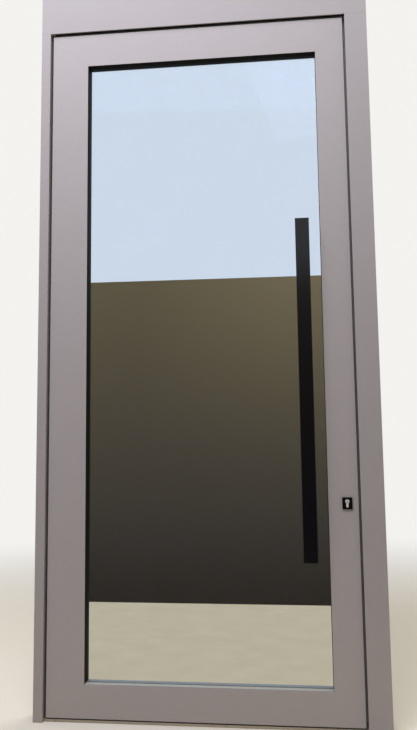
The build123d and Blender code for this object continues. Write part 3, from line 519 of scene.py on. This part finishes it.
def soft(name, base, roughness, scale=900.0, depth=0.00006, specular=0.3, ledge=0.0, dust_and_light_tone=DUST_TONE):
    """Rubber, pile or nylon: a matt skin with grain, and dust where a ledge is asked for, whose pale tone
    on the pane's trim is partly painted sky light.
    """
    finish = Finish(name, Metallic=0.0, IOR=1.5, Specular_IOR_Level=specular)
    graph = finish.graph
    grain = finish.effect("Fine grain", Scale=scale)
    tone = graph.mix(graph.spread(grain["Marks"], 0.4, 0.75), base, scaled(base, SOFT_MARK_TONE))
    if ledge:
        dust = finish.effect("Settled dust", Reach=DUST_REACH, Amount=0.03, Ledge=ledge)["Mask"]
        tone = graph.mix(dust, tone, dust_and_light_tone)
    finish.set("Base Color", tone)
    smoother, rougher = roughness - 0.08, roughness + 0.05
    finish.set("Roughness", graph.spread(grain["Height"], *MIDDLE, to_low=smoother, to_high=rougher))
    finish.set("Normal", graph.bump(grain["Height"], distance=depth, strength=0.7))
    return finish.material


def give(material, *names):
    """Give CAD nodes a material."""
    for name in names:
        slots = NODES[name].data.materials
        slots.clear()
        slots.append(material)


# Shapes

def mesh_object(name, shape, material):
    """A mesh object from a (corners, faces) pair, closed and facing outwards."""
    corners, faces = shape
    mesh = bpy.data.meshes.new(name)
    mesh.from_pydata(np.asarray(corners, float).tolist(), [], np.asarray(faces, int).tolist())
    mesh.materials.append(material)
    close_up(mesh)
    made = bpy.data.objects.new(name, mesh)
    bpy.context.scene.collection.objects.link(made)
    return made


def new_piece(name, shape, material, body, smooth=True):
    """A mesh object that rides on a body."""
    piece = mesh_object(name, shape, material)
    piece.data.polygons.foreach_set("use_smooth", [smooth] * len(piece.data.polygons))
    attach(piece, body)
    return piece


def close_up(mesh, distance=1e-6):
    """Merge corners that coincide, which drops faces with no area, and turn the rest outwards."""
    work = bmesh.new()
    work.from_mesh(mesh)
    bmesh.ops.remove_doubles(work, verts=work.verts, dist=distance)
    bmesh.ops.recalc_face_normals(work, faces=work.faces)
    work.to_mesh(mesh)
    work.free()


def sharpen(piece, degrees=35.0):
    """Keep the edges that turn by more than an angle sharp on a smooth piece."""
    piece.data.set_sharp_from_angle(angle=math.radians(degrees))


def corners_at(x, y, z):
    """Three arrays, spread over one grid, as a list of corners."""
    return np.stack(np.broadcast_arrays(x, y, z), axis=-1).reshape(-1, 3)


def grid_faces(rows, columns, close_rows=False, close_columns=False):
    """Quads of a grid of rows by columns, closed round in either way."""
    i = np.arange(rows if close_rows else rows - 1)[:, None]
    j = np.arange(columns if close_columns else columns - 1)[None, :]
    a, b = i * columns + j, i * columns + (j + 1) % columns
    c, d = ((i + 1) % rows) * columns + (j + 1) % columns, ((i + 1) % rows) * columns + j
    return np.stack([a, b, c, d], axis=-1).reshape(-1, 4)


def stack(shapes):
    """Several (corners, faces) pairs as one, with the faces renumbered."""
    start, corners, faces = 0, [], []
    for points, quads in shapes:
        corners.append(points)
        faces.append(np.asarray(quads) + start)
        start += len(points)
    return np.concatenate(corners), np.concatenate(faces)


def swept(start, end, out, section):
    """A profile carried from start to end along a straight line, with both ends closed.

    A point of the section is (across, out): the centre line plus that much along the side and along
    out. The first and last rings shrink to the section's middle, which closes the ends.
    """
    start, end, out = (np.array(v, float) for v in (start, end, out))
    section = np.asarray(section, float)
    along = end - start
    side = np.cross(along / np.linalg.norm(along), out)
    middle = section.mean(axis=0)
    way = np.array([0.0, 0.0, 1.0, 1.0])[:, None, None]
    full = np.array([0.0, 1.0, 1.0, 0.0])[:, None, None]
    ring = middle + full * (section - middle)
    corners = start + way * along + ring[..., :1] * side + ring[..., 1:] * out
    return corners.reshape(-1, 3), grid_faces(4, len(section), close_columns=True)


def low_arch(width, height, steps):
    """Half an ellipse: half the width times the cosine across, the height times the sine out."""
    turn = np.linspace(0, np.pi, steps)
    return np.stack([width / 2 * np.cos(turn), height * np.sin(turn)], axis=-1)


def round_ring(low, high, section):
    """A profile carried round a rectangle in X and Z with mitred corners.

    The section is a closed list of (inwards, depth) points. At each corner a point lies inwards by its
    own distance along both sides, so the sides meet in mitres.
    """
    section = np.asarray(section, float)
    corner = np.array([(low.x, low.z, 1, 1), (high.x, low.z, -1, 1),
                       (high.x, high.z, -1, -1), (low.x, high.z, 1, -1)], float)
    x = corner[:, None, 0] + corner[:, None, 2] * section[None, :, 0]
    z = corner[:, None, 1] + corner[:, None, 3] * section[None, :, 0]
    faces = grid_faces(4, len(section), close_rows=True, close_columns=True)
    return corners_at(x, section[:, 1], z), faces


def gasket_section(glass, back, cover, show, steps, root=()):
    """A glazing gasket: a flat strip between two depths, a root in its groove, and a rounded lip.

    The lip is a quarter of a superellipse: inwards the lip's width times the cosine to the power 0.8,
    in depth the strip's thickness times 1.08 times the sine to the power 0.8.
    """
    turn = np.linspace(np.pi / 2, 0, steps)
    power = 0.8
    inwards = show * np.cos(turn).clip(0) ** power
    depth = glass + (back - glass) * 1.08 * np.sin(turn) ** power
    strip = [(-cover, glass), (-cover, back), *root, (0.0, back)]
    return strip + list(zip(inwards, depth))


def screw_head(centre, out, radius, height, steps=56):
    """A low domed head with a cross recess, as a disc of rings about out.

    The rise falls with the square of the radius, by 0.55 of the height at the rim. It drops by 1.2
    heights within 0.12 radii of the middle of the cross's arms, which reach out to 0.56 radii.
    """
    out = np.array(out, float)
    first = np.cross(out, (0.0, 0.0, 1.0))
    second = np.cross(out, first)
    rings = np.array([0.0, 0.1, 0.18, 0.3, 0.42, 0.5, 0.58, 0.7, 0.82, 0.92, 1.0, 1.0]) * radius
    turn = np.linspace(0, 2 * np.pi, steps, endpoint=False)
    u, v = rings[:, None] * np.cos(turn), rings[:, None] * np.sin(turn)
    rise = height * (1 - 0.55 * (rings / radius) ** 2)[:, None] * np.ones_like(u)
    arm = (np.minimum(np.abs(u), np.abs(v)) < 0.12 * radius) & (np.hypot(u, v) < 0.56 * radius)
    rise = np.where(arm, rise - 1.2 * height, rise)
    rise[-1] = -height
    corners = np.array(centre) + u[..., None] * first + v[..., None] * second + rise[..., None] * out
    base = np.broadcast_to(np.array(centre) - height * out, (1, steps, 3))
    corners = np.concatenate([corners, base])
    return corners.reshape(-1, 3), grid_faces(len(rings) + 1, steps, close_columns=True)


def rounded_bar(x, z, depths, half, power, bevel, steps=72, rings=9):
    """A bar along Y whose section is a superellipse, with rounded ends.

    Across, a point is at half the width times the cosine to the power 2 / power, and likewise for its
    height and the sine. Towards each end the half sizes shrink by bevel times (1 - sine) while the
    depth moves by bevel times (1 - cosine) of a quarter turn.
    """
    turn = np.linspace(0, 2 * np.pi, steps, endpoint=False)
    quarter = np.linspace(0, np.pi / 2, rings)
    inset, moved = bevel * (1 - np.sin(quarter)), bevel * (1 - np.cos(quarter))
    depth = np.concatenate([[depths[0]], depths[0] + moved, (depths[1] - moved)[::-1], [depths[1]]])
    wide, tall = (np.concatenate([[0.0], size - inset, (size - inset)[::-1], [0.0]]) for size in half)
    across = np.sign(np.cos(turn)) * np.abs(np.cos(turn)) ** (2 / power)
    up = np.sign(np.sin(turn)) * np.abs(np.sin(turn)) ** (2 / power)
    corners = corners_at(x + wide[:, None] * across, depth[:, None], z + tall[:, None] * up)
    return corners, grid_faces(len(depth), steps, close_columns=True)


def tufts(feet, tip, half, draw):
    """Short four-sided tufts that stand on their feet and taper to their tips.

    Each tuft is a square on its corner at the foot, at 0.55 of its height and at the tip. Its size
    there is half times 1, 0.95 and 0.6. The tip leans by a drawn amount, the middle by a third of it.
    """
    lean = draw.uniform(-TUFT_LEAN, TUFT_LEAN, (len(feet), 2)) * half
    height = (tip - feet[:, 2]) * draw.uniform(TUFT_SHORTEST, 1.0, len(feet))
    level = np.array([0.0, 0.55, 1.0])
    size = np.array([1.0, 0.95, 0.6]) * half
    bent = np.array([0.0, 0.33, 1.0])
    turn = np.arange(4) * np.pi / 2
    x = feet[:, 0, None, None] + lean[:, 0, None, None] * bent[:, None] + size[:, None] * np.cos(turn)
    y = feet[:, 1, None, None] + lean[:, 1, None, None] * bent[:, None] + size[:, None] * np.sin(turn)
    z = feet[:, 2, None, None] + height[:, None, None] * level[:, None] + np.zeros(4)
    sides = grid_faces(3, 4, close_columns=True)
    one = np.concatenate([sides, [[3, 2, 1, 0], [8, 9, 10, 11]]])
    faces = one[None] + 12 * np.arange(len(feet))[:, None, None]
    return corners_at(x, y, z), faces.reshape(-1, 4)


# Operators

class DOOR_OT_paint(bpy.types.Operator):
    """Give the frame, the leaf and the beads their powder coat"""
    bl_idname = "door.paint"
    bl_label = "Painted profiles"

    def execute(self, context):
        settings, sill = context.scene.door_paint, context.scene.door_metal.sill
        give(paint("frame_paint", settings, FRAME_TONE), "jamb_left", "jamb_right", "frame_head")
        give(paint("leaf_paint", settings), "stile_left", "stile_right", "rail_top", "rail_bottom")
        give(paint("bead_paint", settings, BEAD_TONE), "bead_top", "bead_bottom", "bead_left", "bead_right")
        give(metal("bronze_sill", sill, low=0.42, high=0.55, metallic=0.5), "threshold")
        return {"FINISHED"}


class DOOR_OT_end_caps(bpy.types.Operator):
    """Close the head's open ends with push-in caps, one in each chamber"""
    bl_idname = "door.end_caps"
    bl_label = "End caps"

    def execute(self, context):
        fine = context.scene.door_fine
        pitch = (HEAD_HIGH.z - HEAD_LOW.z - HEAD_WALL) / HEAD_CHAMBERS
        wide = (HEAD_HIGH.y - HEAD_LOW.y) / 2 - HEAD_WALL - fine.cap_gap
        tall = (pitch - HEAD_WALL) / 2 - fine.cap_gap
        bevel = fine.cap_gap * 2
        inner, outer = HEAD_HIGH.x - fine.cap_thickness - fine.cap_gap, HEAD_HIGH.x - fine.cap_gap
        caps = []
        for depths in ((inner, outer), (-outer, -inner)):
            for place in range(HEAD_CHAMBERS):
                z = HEAD_LOW.z + HEAD_WALL / 2 + pitch * (place + 0.5)
                corners, faces = rounded_bar(0.0, z, depths, (wide, tall), CAP_SQUARENESS, bevel)
                lengthwise = corners[:, [1, 0, 2]]
                caps.append((lengthwise, faces))
        paint_coat = NODES["frame_head"].data.materials[0]
        sharpen(new_piece("head_end_caps", stack(caps), paint_coat, "frame"))
        return {"FINISHED"}


class DOOR_OT_pane(bpy.types.Operator):
    """Give the pane its mirror coating and tint"""
    bl_idname = "door.pane"
    bl_label = "Pane"

    def execute(self, context):
        give(tinted_glass(context.scene.door_glass), "glass_pane")
        return {"FINISHED"}


class DOOR_OT_metals(bpy.types.Operator):
    """Give the bars, the lock, the pivots and the cleats their finishes, and round the inner knob"""
    bl_idname = "door.metals"
    bl_label = "Bars, lock, pivots and cleats"

    def execute(self, context):
        settings = context.scene.door_metal
        black = black_coat(settings)
        give(black, "pull_bar_outer", "pull_bar_inner", "bar_caps", "bar_posts", "escutcheon_outer",
             "escutcheon_inner")
        nickel = {"low": 0.46, "high": 0.58, "lines": 0.000008, "metallic": 0.6}
        plug_low, plug_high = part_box("key_plug")
        # The key plug darkens from here inwards: painted shade in the keyway
        keyway_shade_from = plug_low.y + KEYWAY_SHADE_START
        give(metal("satin_nickel", settings.nickel, **nickel), "cylinder_housing")
        give(metal("plug_nickel", settings.nickel, **nickel, inside=keyway_shade_from), "key_plug")
        give(metal("zinc_plated_steel", settings.steel, low=0.30, high=0.46), "floor_pivot_plate",
             "floor_pivot_bearing", "top_pivot_housing", "top_pivot_pin", "bottom_pivot_shoe", "deadbolt",
             "top_pivot_shoe", "lock_case", "lock_faceplate", "strike_plate", "head_bolts", "lock_cam")
        give(metal("mill_aluminium", settings.mill, low=0.36, high=0.52), "cleat_top_left",
             "cleat_top_right", "cleat_bottom_left", "cleat_bottom_right", "joint_block_left",
             "joint_block_right")
        low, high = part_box("thumb_turn")
        x, z = (low.x + high.x) / 2, (low.z + high.z) / 2
        neck = high.y - KNOB_DEPTH
        radius = (plug_high.x - plug_low.x) / 2
        half = ((high.x - low.x) / 2, (high.z - low.z) / 2)
        bevel = context.scene.door_fine.knob_bevel
        knob = rounded_bar(x, z, (neck, high.y), half, KNOB_SQUARENESS, bevel)
        shaft = rounded_bar(x, z, (low.y, neck + bevel), (radius, radius), ROUND, bevel / 5)
        turn = new_piece("turn_knob", stack([knob, shaft]), black, "thumb_turn")
        sharpen(turn)
        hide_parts("thumb_turn")
        return {"FINISHED"}


class DOOR_OT_seals(bpy.types.Operator):
    """Round the lips of the glazing gaskets, line the pane's reveal with black trim, and lay a thin black
    strip of painted shade under the head
    """
    bl_idname = "door.seals"
    bl_label = "Gaskets, trim and blocks"

    def execute(self, context):
        settings, fine = context.scene.door_soft, context.scene.door_fine
        rubber = soft("seal_rubber", settings.rubber, roughness=0.62)
        give(rubber, "frame_seal_left", "frame_seal_right")
        give(soft("black_nylon", settings.nylon, roughness=0.48), "glass_bushes", "setting_blocks")
        matt = {"roughness": 0.60, "specular": 0.1}
        glazing = soft("glazing_rubber", settings.rubber, **matt, ledge=0.45)
        # The trim's bottom run, which looks up, is pale from dust and from painted sky light
        dusty_and_lit = soft("trim_rubber", settings.rubber, **matt, ledge=1.0, dust_and_light_tone=LEDGE_DUST_AND_LIGHT_TONE)
        cover = OPEN_LOW.x - OUTER_GASKET[0].x
        inner_face, inner_back = INNER_GASKET[0].y, INNER_GASKET[1].y
        outer_face = OUTER_GASKET[1].y
        outer_back = outer_face - (inner_back - inner_face)
        far, near = GASKET_ROOT
        floor = OUTER_GASKET[0].y
        root = [(-far, outer_back), (-far, floor), (-near, floor), (-near, outer_back)]
        outer = gasket_section(outer_face, outer_back, cover, fine.lip, fine.steps, root)
        inner = gasket_section(inner_face, inner_back, cover, fine.lip, fine.steps)
        for name, section in (("outer_gasket", outer), ("inner_gasket", inner)):
            shape = round_ring(OPEN_LOW, OPEN_HIGH, section)
            ring = new_piece(f"{name}_lip", shape, glazing, "leaf")
            sharpen(ring)
            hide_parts(name)
        front = LEAF_LOW.y + fine.trim_back
        arch = low_arch(2 * fine.trim, fine.trim / 2, fine.steps) / 2
        rounded = [(fine.trim / 2 - across, front - out) for across, out in arch]
        section = [*rounded, (fine.trim, outer_back), (0.0, outer_back)]
        shape = round_ring(OPEN_LOW, OPEN_HIGH, section)
        sharpen(new_piece("reveal_trim", shape, dusty_and_lit, "leaf"))
        # A thin black strip of painted shade under the head, set back so the front of the head's underside
        # keeps its paint
        front = HEAD_LOW.y + fine.head_shade_strip_back
        wide = LEAF_LOW.y + BRUSH_BASE_HALF * 2 - front
        arch = low_arch(wide, fine.head_shade_strip, fine.steps)
        start, end = ((x, front + wide / 2, HEAD_LOW.z) for x in DOORWAY)
        shape = swept(start, end, (0, 0, -1), arch)
        sharpen(new_piece("head_shade_strip", shape, rubber, "frame"))
        return {"FINISHED"}


class DOOR_OT_brushes(bpy.types.Operator):
    """Make the brush seals of the top and bottom rails: a base in the groove and rows of tufts"""
    bl_idname = "door.brushes"
    bl_label = "Brush seals"

    def execute(self, context):
        fine = context.scene.door_fine
        pile = soft("brush_pile", context.scene.door_soft.pile, roughness=0.85, scale=2200.0,
                    depth=0.0001, specular=0.12)
        wide = BRUSH_BASE_HALF
        for name, face, out in (("top_brushes", LEAF_HIGH.z, 1), ("bottom_brushes", LEAF_LOW.z, -1)):
            low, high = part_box(name)
            seat, tip = (low.z, high.z) if out > 0 else (high.z, low.z)
            thick = abs(face - seat)
            narrow, shoulder = wide * BRUSH_SHOULDER, thick * BRUSH_SHOULDER
            section = [(-wide, 0.0), (wide, 0.0), (wide, shoulder), (narrow, thick), (-narrow, thick),
                       (-wide, shoulder)]
            draw = np.random.default_rng(BRUSH_SEED)
            shapes = []
            for depth, start in ((low.y + wide, low.x), (high.y - wide, low.x + INNER_BRUSH_START)):
                shapes.append(swept((start, depth, seat), (high.x, depth, seat), (0, 0, out), section))
                along = np.arange(start + fine.tuft_pitch, high.x - fine.tuft, fine.tuft_pitch)
                for place, across in enumerate(BRUSH_LINES):
                    x = along - fine.tuft_pitch * place / len(BRUSH_LINES)
                    feet = corners_at(x, depth + across, face - out * fine.tuft)
                    shapes.append(tufts(feet, tip, fine.tuft, draw))
            brush = new_piece(f"{name}_pile", stack(shapes), pile, "leaf", smooth=False)
            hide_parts(name)
        return {"FINISHED"}


class DOOR_OT_joint_lines(bpy.types.Operator):
    """Draw the sealed mitres of the leaf and the butt joints of the frame"""
    bl_idname = "door.joint_lines"
    bl_label = "Joint lines"

    def execute(self, context):
        fine = context.scene.door_fine
        tone = scaled(context.scene.door_paint.tone, SEALER_TONE)
        sealer = soft("joint_sealer", tone, roughness=0.55)
        arch = low_arch(fine.line_width, fine.line_height, fine.steps)
        for side, depth, out, low, high in (("outside", LEAF_LOW.y, -1, OPEN_LOW, OPEN_HIGH),
                                            ("inside", LEAF_HIGH.y, 1, BEAD_LOW, BEAD_HIGH)):
            lines = [swept((x, depth, z), (inner_x, depth, inner_z), (0, out, 0), arch)
                     for z, inner_z in ((LEAF_LOW.z, low.z), (LEAF_HIGH.z, high.z))
                     for x, inner_x in ((LEAF_LOW.x, low.x), (LEAF_HIGH.x, high.x))]
            new_piece(f"mitre_lines_{side}", stack(lines), sealer, "leaf")
        lines = [swept((low.x, depth, HEAD_LOW.z), (high.x, depth, HEAD_LOW.z), (0, out, 0), arch)
                 for low, high in (JAMB_LEFT, JAMB_RIGHT)
                 for depth, out in ((HEAD_LOW.y, -1), (HEAD_HIGH.y, 1))]
        new_piece("frame_joint_lines", stack(lines), sealer, "frame")
        return {"FINISHED"}


class DOOR_OT_screws(bpy.types.Operator):
    """Set the heads of the small screws in the plates of the lock and the strike"""
    bl_idname = "door.screws"
    bl_label = "Screws"

    def execute(self, context):
        fine = context.scene.door_fine
        inset = fine.screw_inset
        steel = metal("screw_steel", context.scene.door_metal.steel, low=0.26, high=0.40)
        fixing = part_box("cylinder_housing")[0].z + fine.screw_radius
        low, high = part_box("lock_faceplate")
        middle = (low.y + high.y) / 2
        faceplate = [(high.x, middle, z) for z in (low.z + inset, high.z - inset, fixing)]
        low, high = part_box("strike_plate")
        middle = (low.y + high.y) / 2
        strike = [(low.x, middle, z) for z in (low.z + inset, high.z - inset)]
        low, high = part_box("escutcheon_inner")
        escutcheon = [(low.x + inset / 2, high.y, high.z - inset / 2),
                      (high.x - inset / 2, high.y, low.z + inset / 2)]
        for name, body, out, centres in (("faceplate_screws", "leaf", (1, 0, 0), faceplate),
                                         ("strike_screws", "frame", (-1, 0, 0), strike),
                                         ("escutcheon_screws", "leaf", (0, 1, 0), escutcheon)):
            heads = [screw_head(centre, out, fine.screw_radius, fine.screw_height) for centre in centres]
            sharpen(new_piece(name, stack(heads), steel, body))
        return {"FINISHED"}


def stage_mesh(name, shape, material):
    """A mesh object that belongs to the stage."""
    made = mesh_object(name, shape, material)
    return made


def floor_material(settings):
    """The floor's pale colour near the object, which far out turns into the backdrop's."""
    finish = Finish("pale_floor", Roughness=0.85, Specular_IOR_Level=0.1)
    graph = finish.graph
    away = graph.node("ShaderNodeVectorMath", operation="LENGTH", Vector=finish.place)
    far = graph.node("ShaderNodeMapRange", interpolation_type="SMOOTHSTEP")
    graph.feed_all(far.inputs, away.outputs["Value"], *FLOOR_FADE)
    speckle = graph.noise(finish.place, 160.0, detail=3.0)
    finish.set("Base Color", graph.varied(speckle, settings.floor, FLOOR_SHARES))
    light = graph.node("ShaderNodeLightPath").outputs
    seen = graph.math("MAXIMUM", light["Is Camera Ray"], light["Is Glossy Ray"])
    seen = graph.math("MAXIMUM", seen, light["Is Transmission Ray"])
    horizon = graph.mix(light["Is Glossy Ray"], settings.backdrop, settings.sky)
    glow = graph.node("ShaderNodeEmission", Color=horizon, Strength=1.0)
    faded = graph.blend(graph.times(far.outputs[0], seen), finish.surface.outputs[0], glow.outputs[0])
    graph.feed(finish.output.inputs["Surface"], faded)
    return finish.material


def make_floor(settings):
    """A round floor: rings that widen outwards from the middle by a constant ratio."""
    rings = np.concatenate([[0.0], np.geomspace(FLOOR_CORE, FLOOR_REACH, FLOOR_RINGS)])
    turn = np.linspace(0, 2 * np.pi, FLOOR_SPOKES, endpoint=False)
    x, y = rings[:, None] * np.cos(turn), rings[:, None] * np.sin(turn)
    faces = grid_faces(*x.shape, close_columns=True)
    floor = stage_mesh("floor", (corners_at(x, y, FLOOR_HEIGHT), faces), floor_material(settings))
    if floor.data.polygons[0].normal.z < 0:
        floor.data.flip_normals()


def mirrored_card(name, x, y, z, finish, tone):
    """A card of the stage that glows in one tone and shows in mirrors alone."""
    finish.set("Emission Color", tone)
    finish.set("Emission Strength", 1.0)
    card = stage_mesh(name, (corners_at(x, y, z), grid_faces(*x.shape)), finish.material)
    for kind in ("camera", "diffuse", "transmission", "shadow", "volume_scatter"):
        setattr(card, f"visible_{kind}", False)


def make_cards(settings):
    """A pale card that lies in front of the frame, and a dark one that stands at its far edge."""
    across = np.linspace(-CARD_HALF, CARD_HALF, 9)
    far = HEAD_LOW.y - settings.card_distance
    dull = {"Roughness": 1.0, "Specular_IOR_Level": 0.0, "Base_Color": (0.0, 0.0, 0.0)}
    x, y = np.meshgrid(across, np.linspace(far, HEAD_LOW.y, 5))
    finish = Finish("ground_card", **dull)
    speckle = finish.graph.noise(finish.place, 6.0, detail=4.0, roughness=0.6)
    tone = finish.graph.varied(speckle, settings.ground, GROUND_SHARES)
    mirrored_card("ground_card", x, y, GROUND_CARD_HEIGHT, finish, tone)
    x, z = np.meshgrid(across, np.linspace(0.0, settings.card_height, 5))
    finish = Finish("card", **dull)
    graph = finish.graph
    place = graph.node("ShaderNodeSeparateXYZ", Vector=finish.place).outputs
    high = graph.math("POWER", graph.spread(place["Z"], 0.0, settings.card_height), CARD_POWER)
    glow = graph.times(graph.math("POWER", high, GLOW_POWER), graph.spread(place["X"], *GLOW_ACROSS))
    tone = graph.mix(high, settings.card_foot, settings.card_top)
    tone = graph.mix(glow, tone, scaled(settings.card_top, GLOW_TONE))
    mirrored_card("card", x, far, z, finish, tone)


def make_lamps(settings):
    """Large soft lamps: one above in front, one above behind, and one at each side."""
    top = CAD_BOX[1].z
    beside = ((1.6, 2.6), settings.side_power, PLAIN_LIGHT)
    lamps = (
        ("overhead_front", (-0.8, -2.2, top + 1.45), (-0.5, 0.0, top * 0.85), (3.2, 2.4),
         settings.key_power, settings.key_tone),
        ("overhead_back", (1.2, 2.6, top + 1.4), (0.0, 0.0, top * 0.55), (3.0, 2.4),
         settings.back_power, PLAIN_LIGHT),
        ("beside_left", (-4.0, 1.3, top * 0.8), (0.0, 0.3, top * 0.45), *beside),
        ("beside_right", (4.0, -1.3, top * 0.8), (0.0, -0.1, top * 0.45), *beside),
    )
    for name, place, target, size, watts, tone in lamps:
        data = bpy.data.lights.new(name, "AREA")
        data.shape, data.size, data.size_y = "RECTANGLE", *size
        data.energy, data.color = watts, tone
        lamp = bpy.data.objects.new(name, data)
        bpy.context.scene.collection.objects.link(lamp)
        lamp.location = place
        lamp.rotation_euler = (Vector(target) - Vector(place)).to_track_quat("-Z", "Y").to_euler()
        lamp.visible_glossy = False
        lamp.visible_camera = False


def make_world(settings):
    """Even light all round; camera, mirror and glass rays meet the pale backdrop and the sky."""
    world = bpy.data.worlds.new("studio")
    bpy.context.scene.world = world
    world.use_nodes = True
    world.node_tree.nodes.clear()
    graph = Graph(world.node_tree)
    light = graph.node("ShaderNodeLightPath").outputs
    seen = graph.math("MAXIMUM", light["Is Camera Ray"], light["Is Transmission Ray"])
    even, pale, sky = (
        graph.node("ShaderNodeBackground", Color=rgba(tone), Strength=strength).outputs[0]
        for tone, strength in ((settings.fill_tone, settings.fill_strength), (settings.backdrop, 1.0),
                               (settings.sky, 1.0)))
    plain = graph.blend(seen, even, pale)
    graph.node("ShaderNodeOutputWorld", Surface=graph.blend(light["Is Glossy Ray"], plain, sky))


def make_camera():
    """The camera at the picture's angle: yaw to the left, pitch up, then roll about its own axis."""
    yaw, pitch, roll = CAMERA_TURN
    flat = Vector((-math.sin(yaw), math.cos(yaw), 0))
    right = Vector((math.cos(yaw), math.sin(yaw), 0))
    up = Vector((0, 0, 1))
    forward = flat * math.cos(pitch) + up * math.sin(pitch)
    above = up * math.cos(pitch) - flat * math.sin(pitch)
    side = right * math.cos(roll) + above * math.sin(roll)
    above = above * math.cos(roll) - right * math.sin(roll)
    data = bpy.data.cameras.new("camera")
    data.sensor_fit, data.sensor_width = "AUTO", SENSOR
    data.lens = FOCAL_PIXELS / PICTURE_TALL * SENSOR
    data.shift_x = (PICTURE_WIDE / 2 - PRINCIPAL_PIXEL[0]) / PICTURE_TALL
    data.shift_y = (PRINCIPAL_PIXEL[1] - PICTURE_TALL / 2) / PICTURE_TALL
    data.clip_start, data.clip_end = CLIP
    camera = bpy.data.objects.new("camera", data)
    bpy.context.scene.collection.objects.link(camera)
    turn = Matrix((side, above, -forward)).transposed()
    camera.matrix_world = Matrix.Translation(CAMERA_PLACE) @ turn.to_4x4()
    bpy.context.scene.camera = camera


class DOOR_OT_stage(bpy.types.Operator):
    """Set the floor, the cards that the pane mirrors, the lamps, the sky and the camera"""
    bl_idname = "door.stage"
    bl_label = "Stage"

    def execute(self, context):
        settings = context.scene.door_stage
        make_floor(settings)
        make_cards(settings)
        make_lamps(settings)
        make_world(settings)
        make_camera()
        context.scene.view_settings.view_transform = "Standard"
        return {"FINISHED"}


class DOOR_PT_panel(bpy.types.Panel):
    """Lists the steps that dress the door"""
    bl_idname = "DOOR_PT_panel"
    bl_label = "Glass entrance door"
    bl_space_type = "VIEW_3D"
    bl_region_type = "UI"
    bl_category = "Door"

    def draw(self, context):
        for step in STEPS:
            self.layout.operator(step.bl_idname)
        for name, group in SETTINGS.items():
            box = self.layout.box()
            box.label(text=group.__doc__)
            for value in group.__annotations__:
                box.prop(getattr(context.scene, name), value)


STEPS = (DOOR_OT_paint, DOOR_OT_end_caps, DOOR_OT_pane, DOOR_OT_metals, DOOR_OT_seals, DOOR_OT_brushes,
         DOOR_OT_joint_lines, DOOR_OT_screws, DOOR_OT_stage)
CLASSES = (*SETTINGS.values(), *STEPS, DOOR_PT_panel)


def register():
    for kind in CLASSES:
        bpy.utils.register_class(kind)
    for name, group in SETTINGS.items():
        setattr(bpy.types.Scene, name, PointerProperty(type=group))


def unregister():
    for name in SETTINGS:
        delattr(bpy.types.Scene, name)
    for kind in reversed(CLASSES):
        bpy.utils.unregister_class(kind)


def main():
    register()
    for step in STEPS:
        getattr(bpy.ops.door, step.bl_idname.split(".")[1])()


if __name__ == "__main__":
    main()
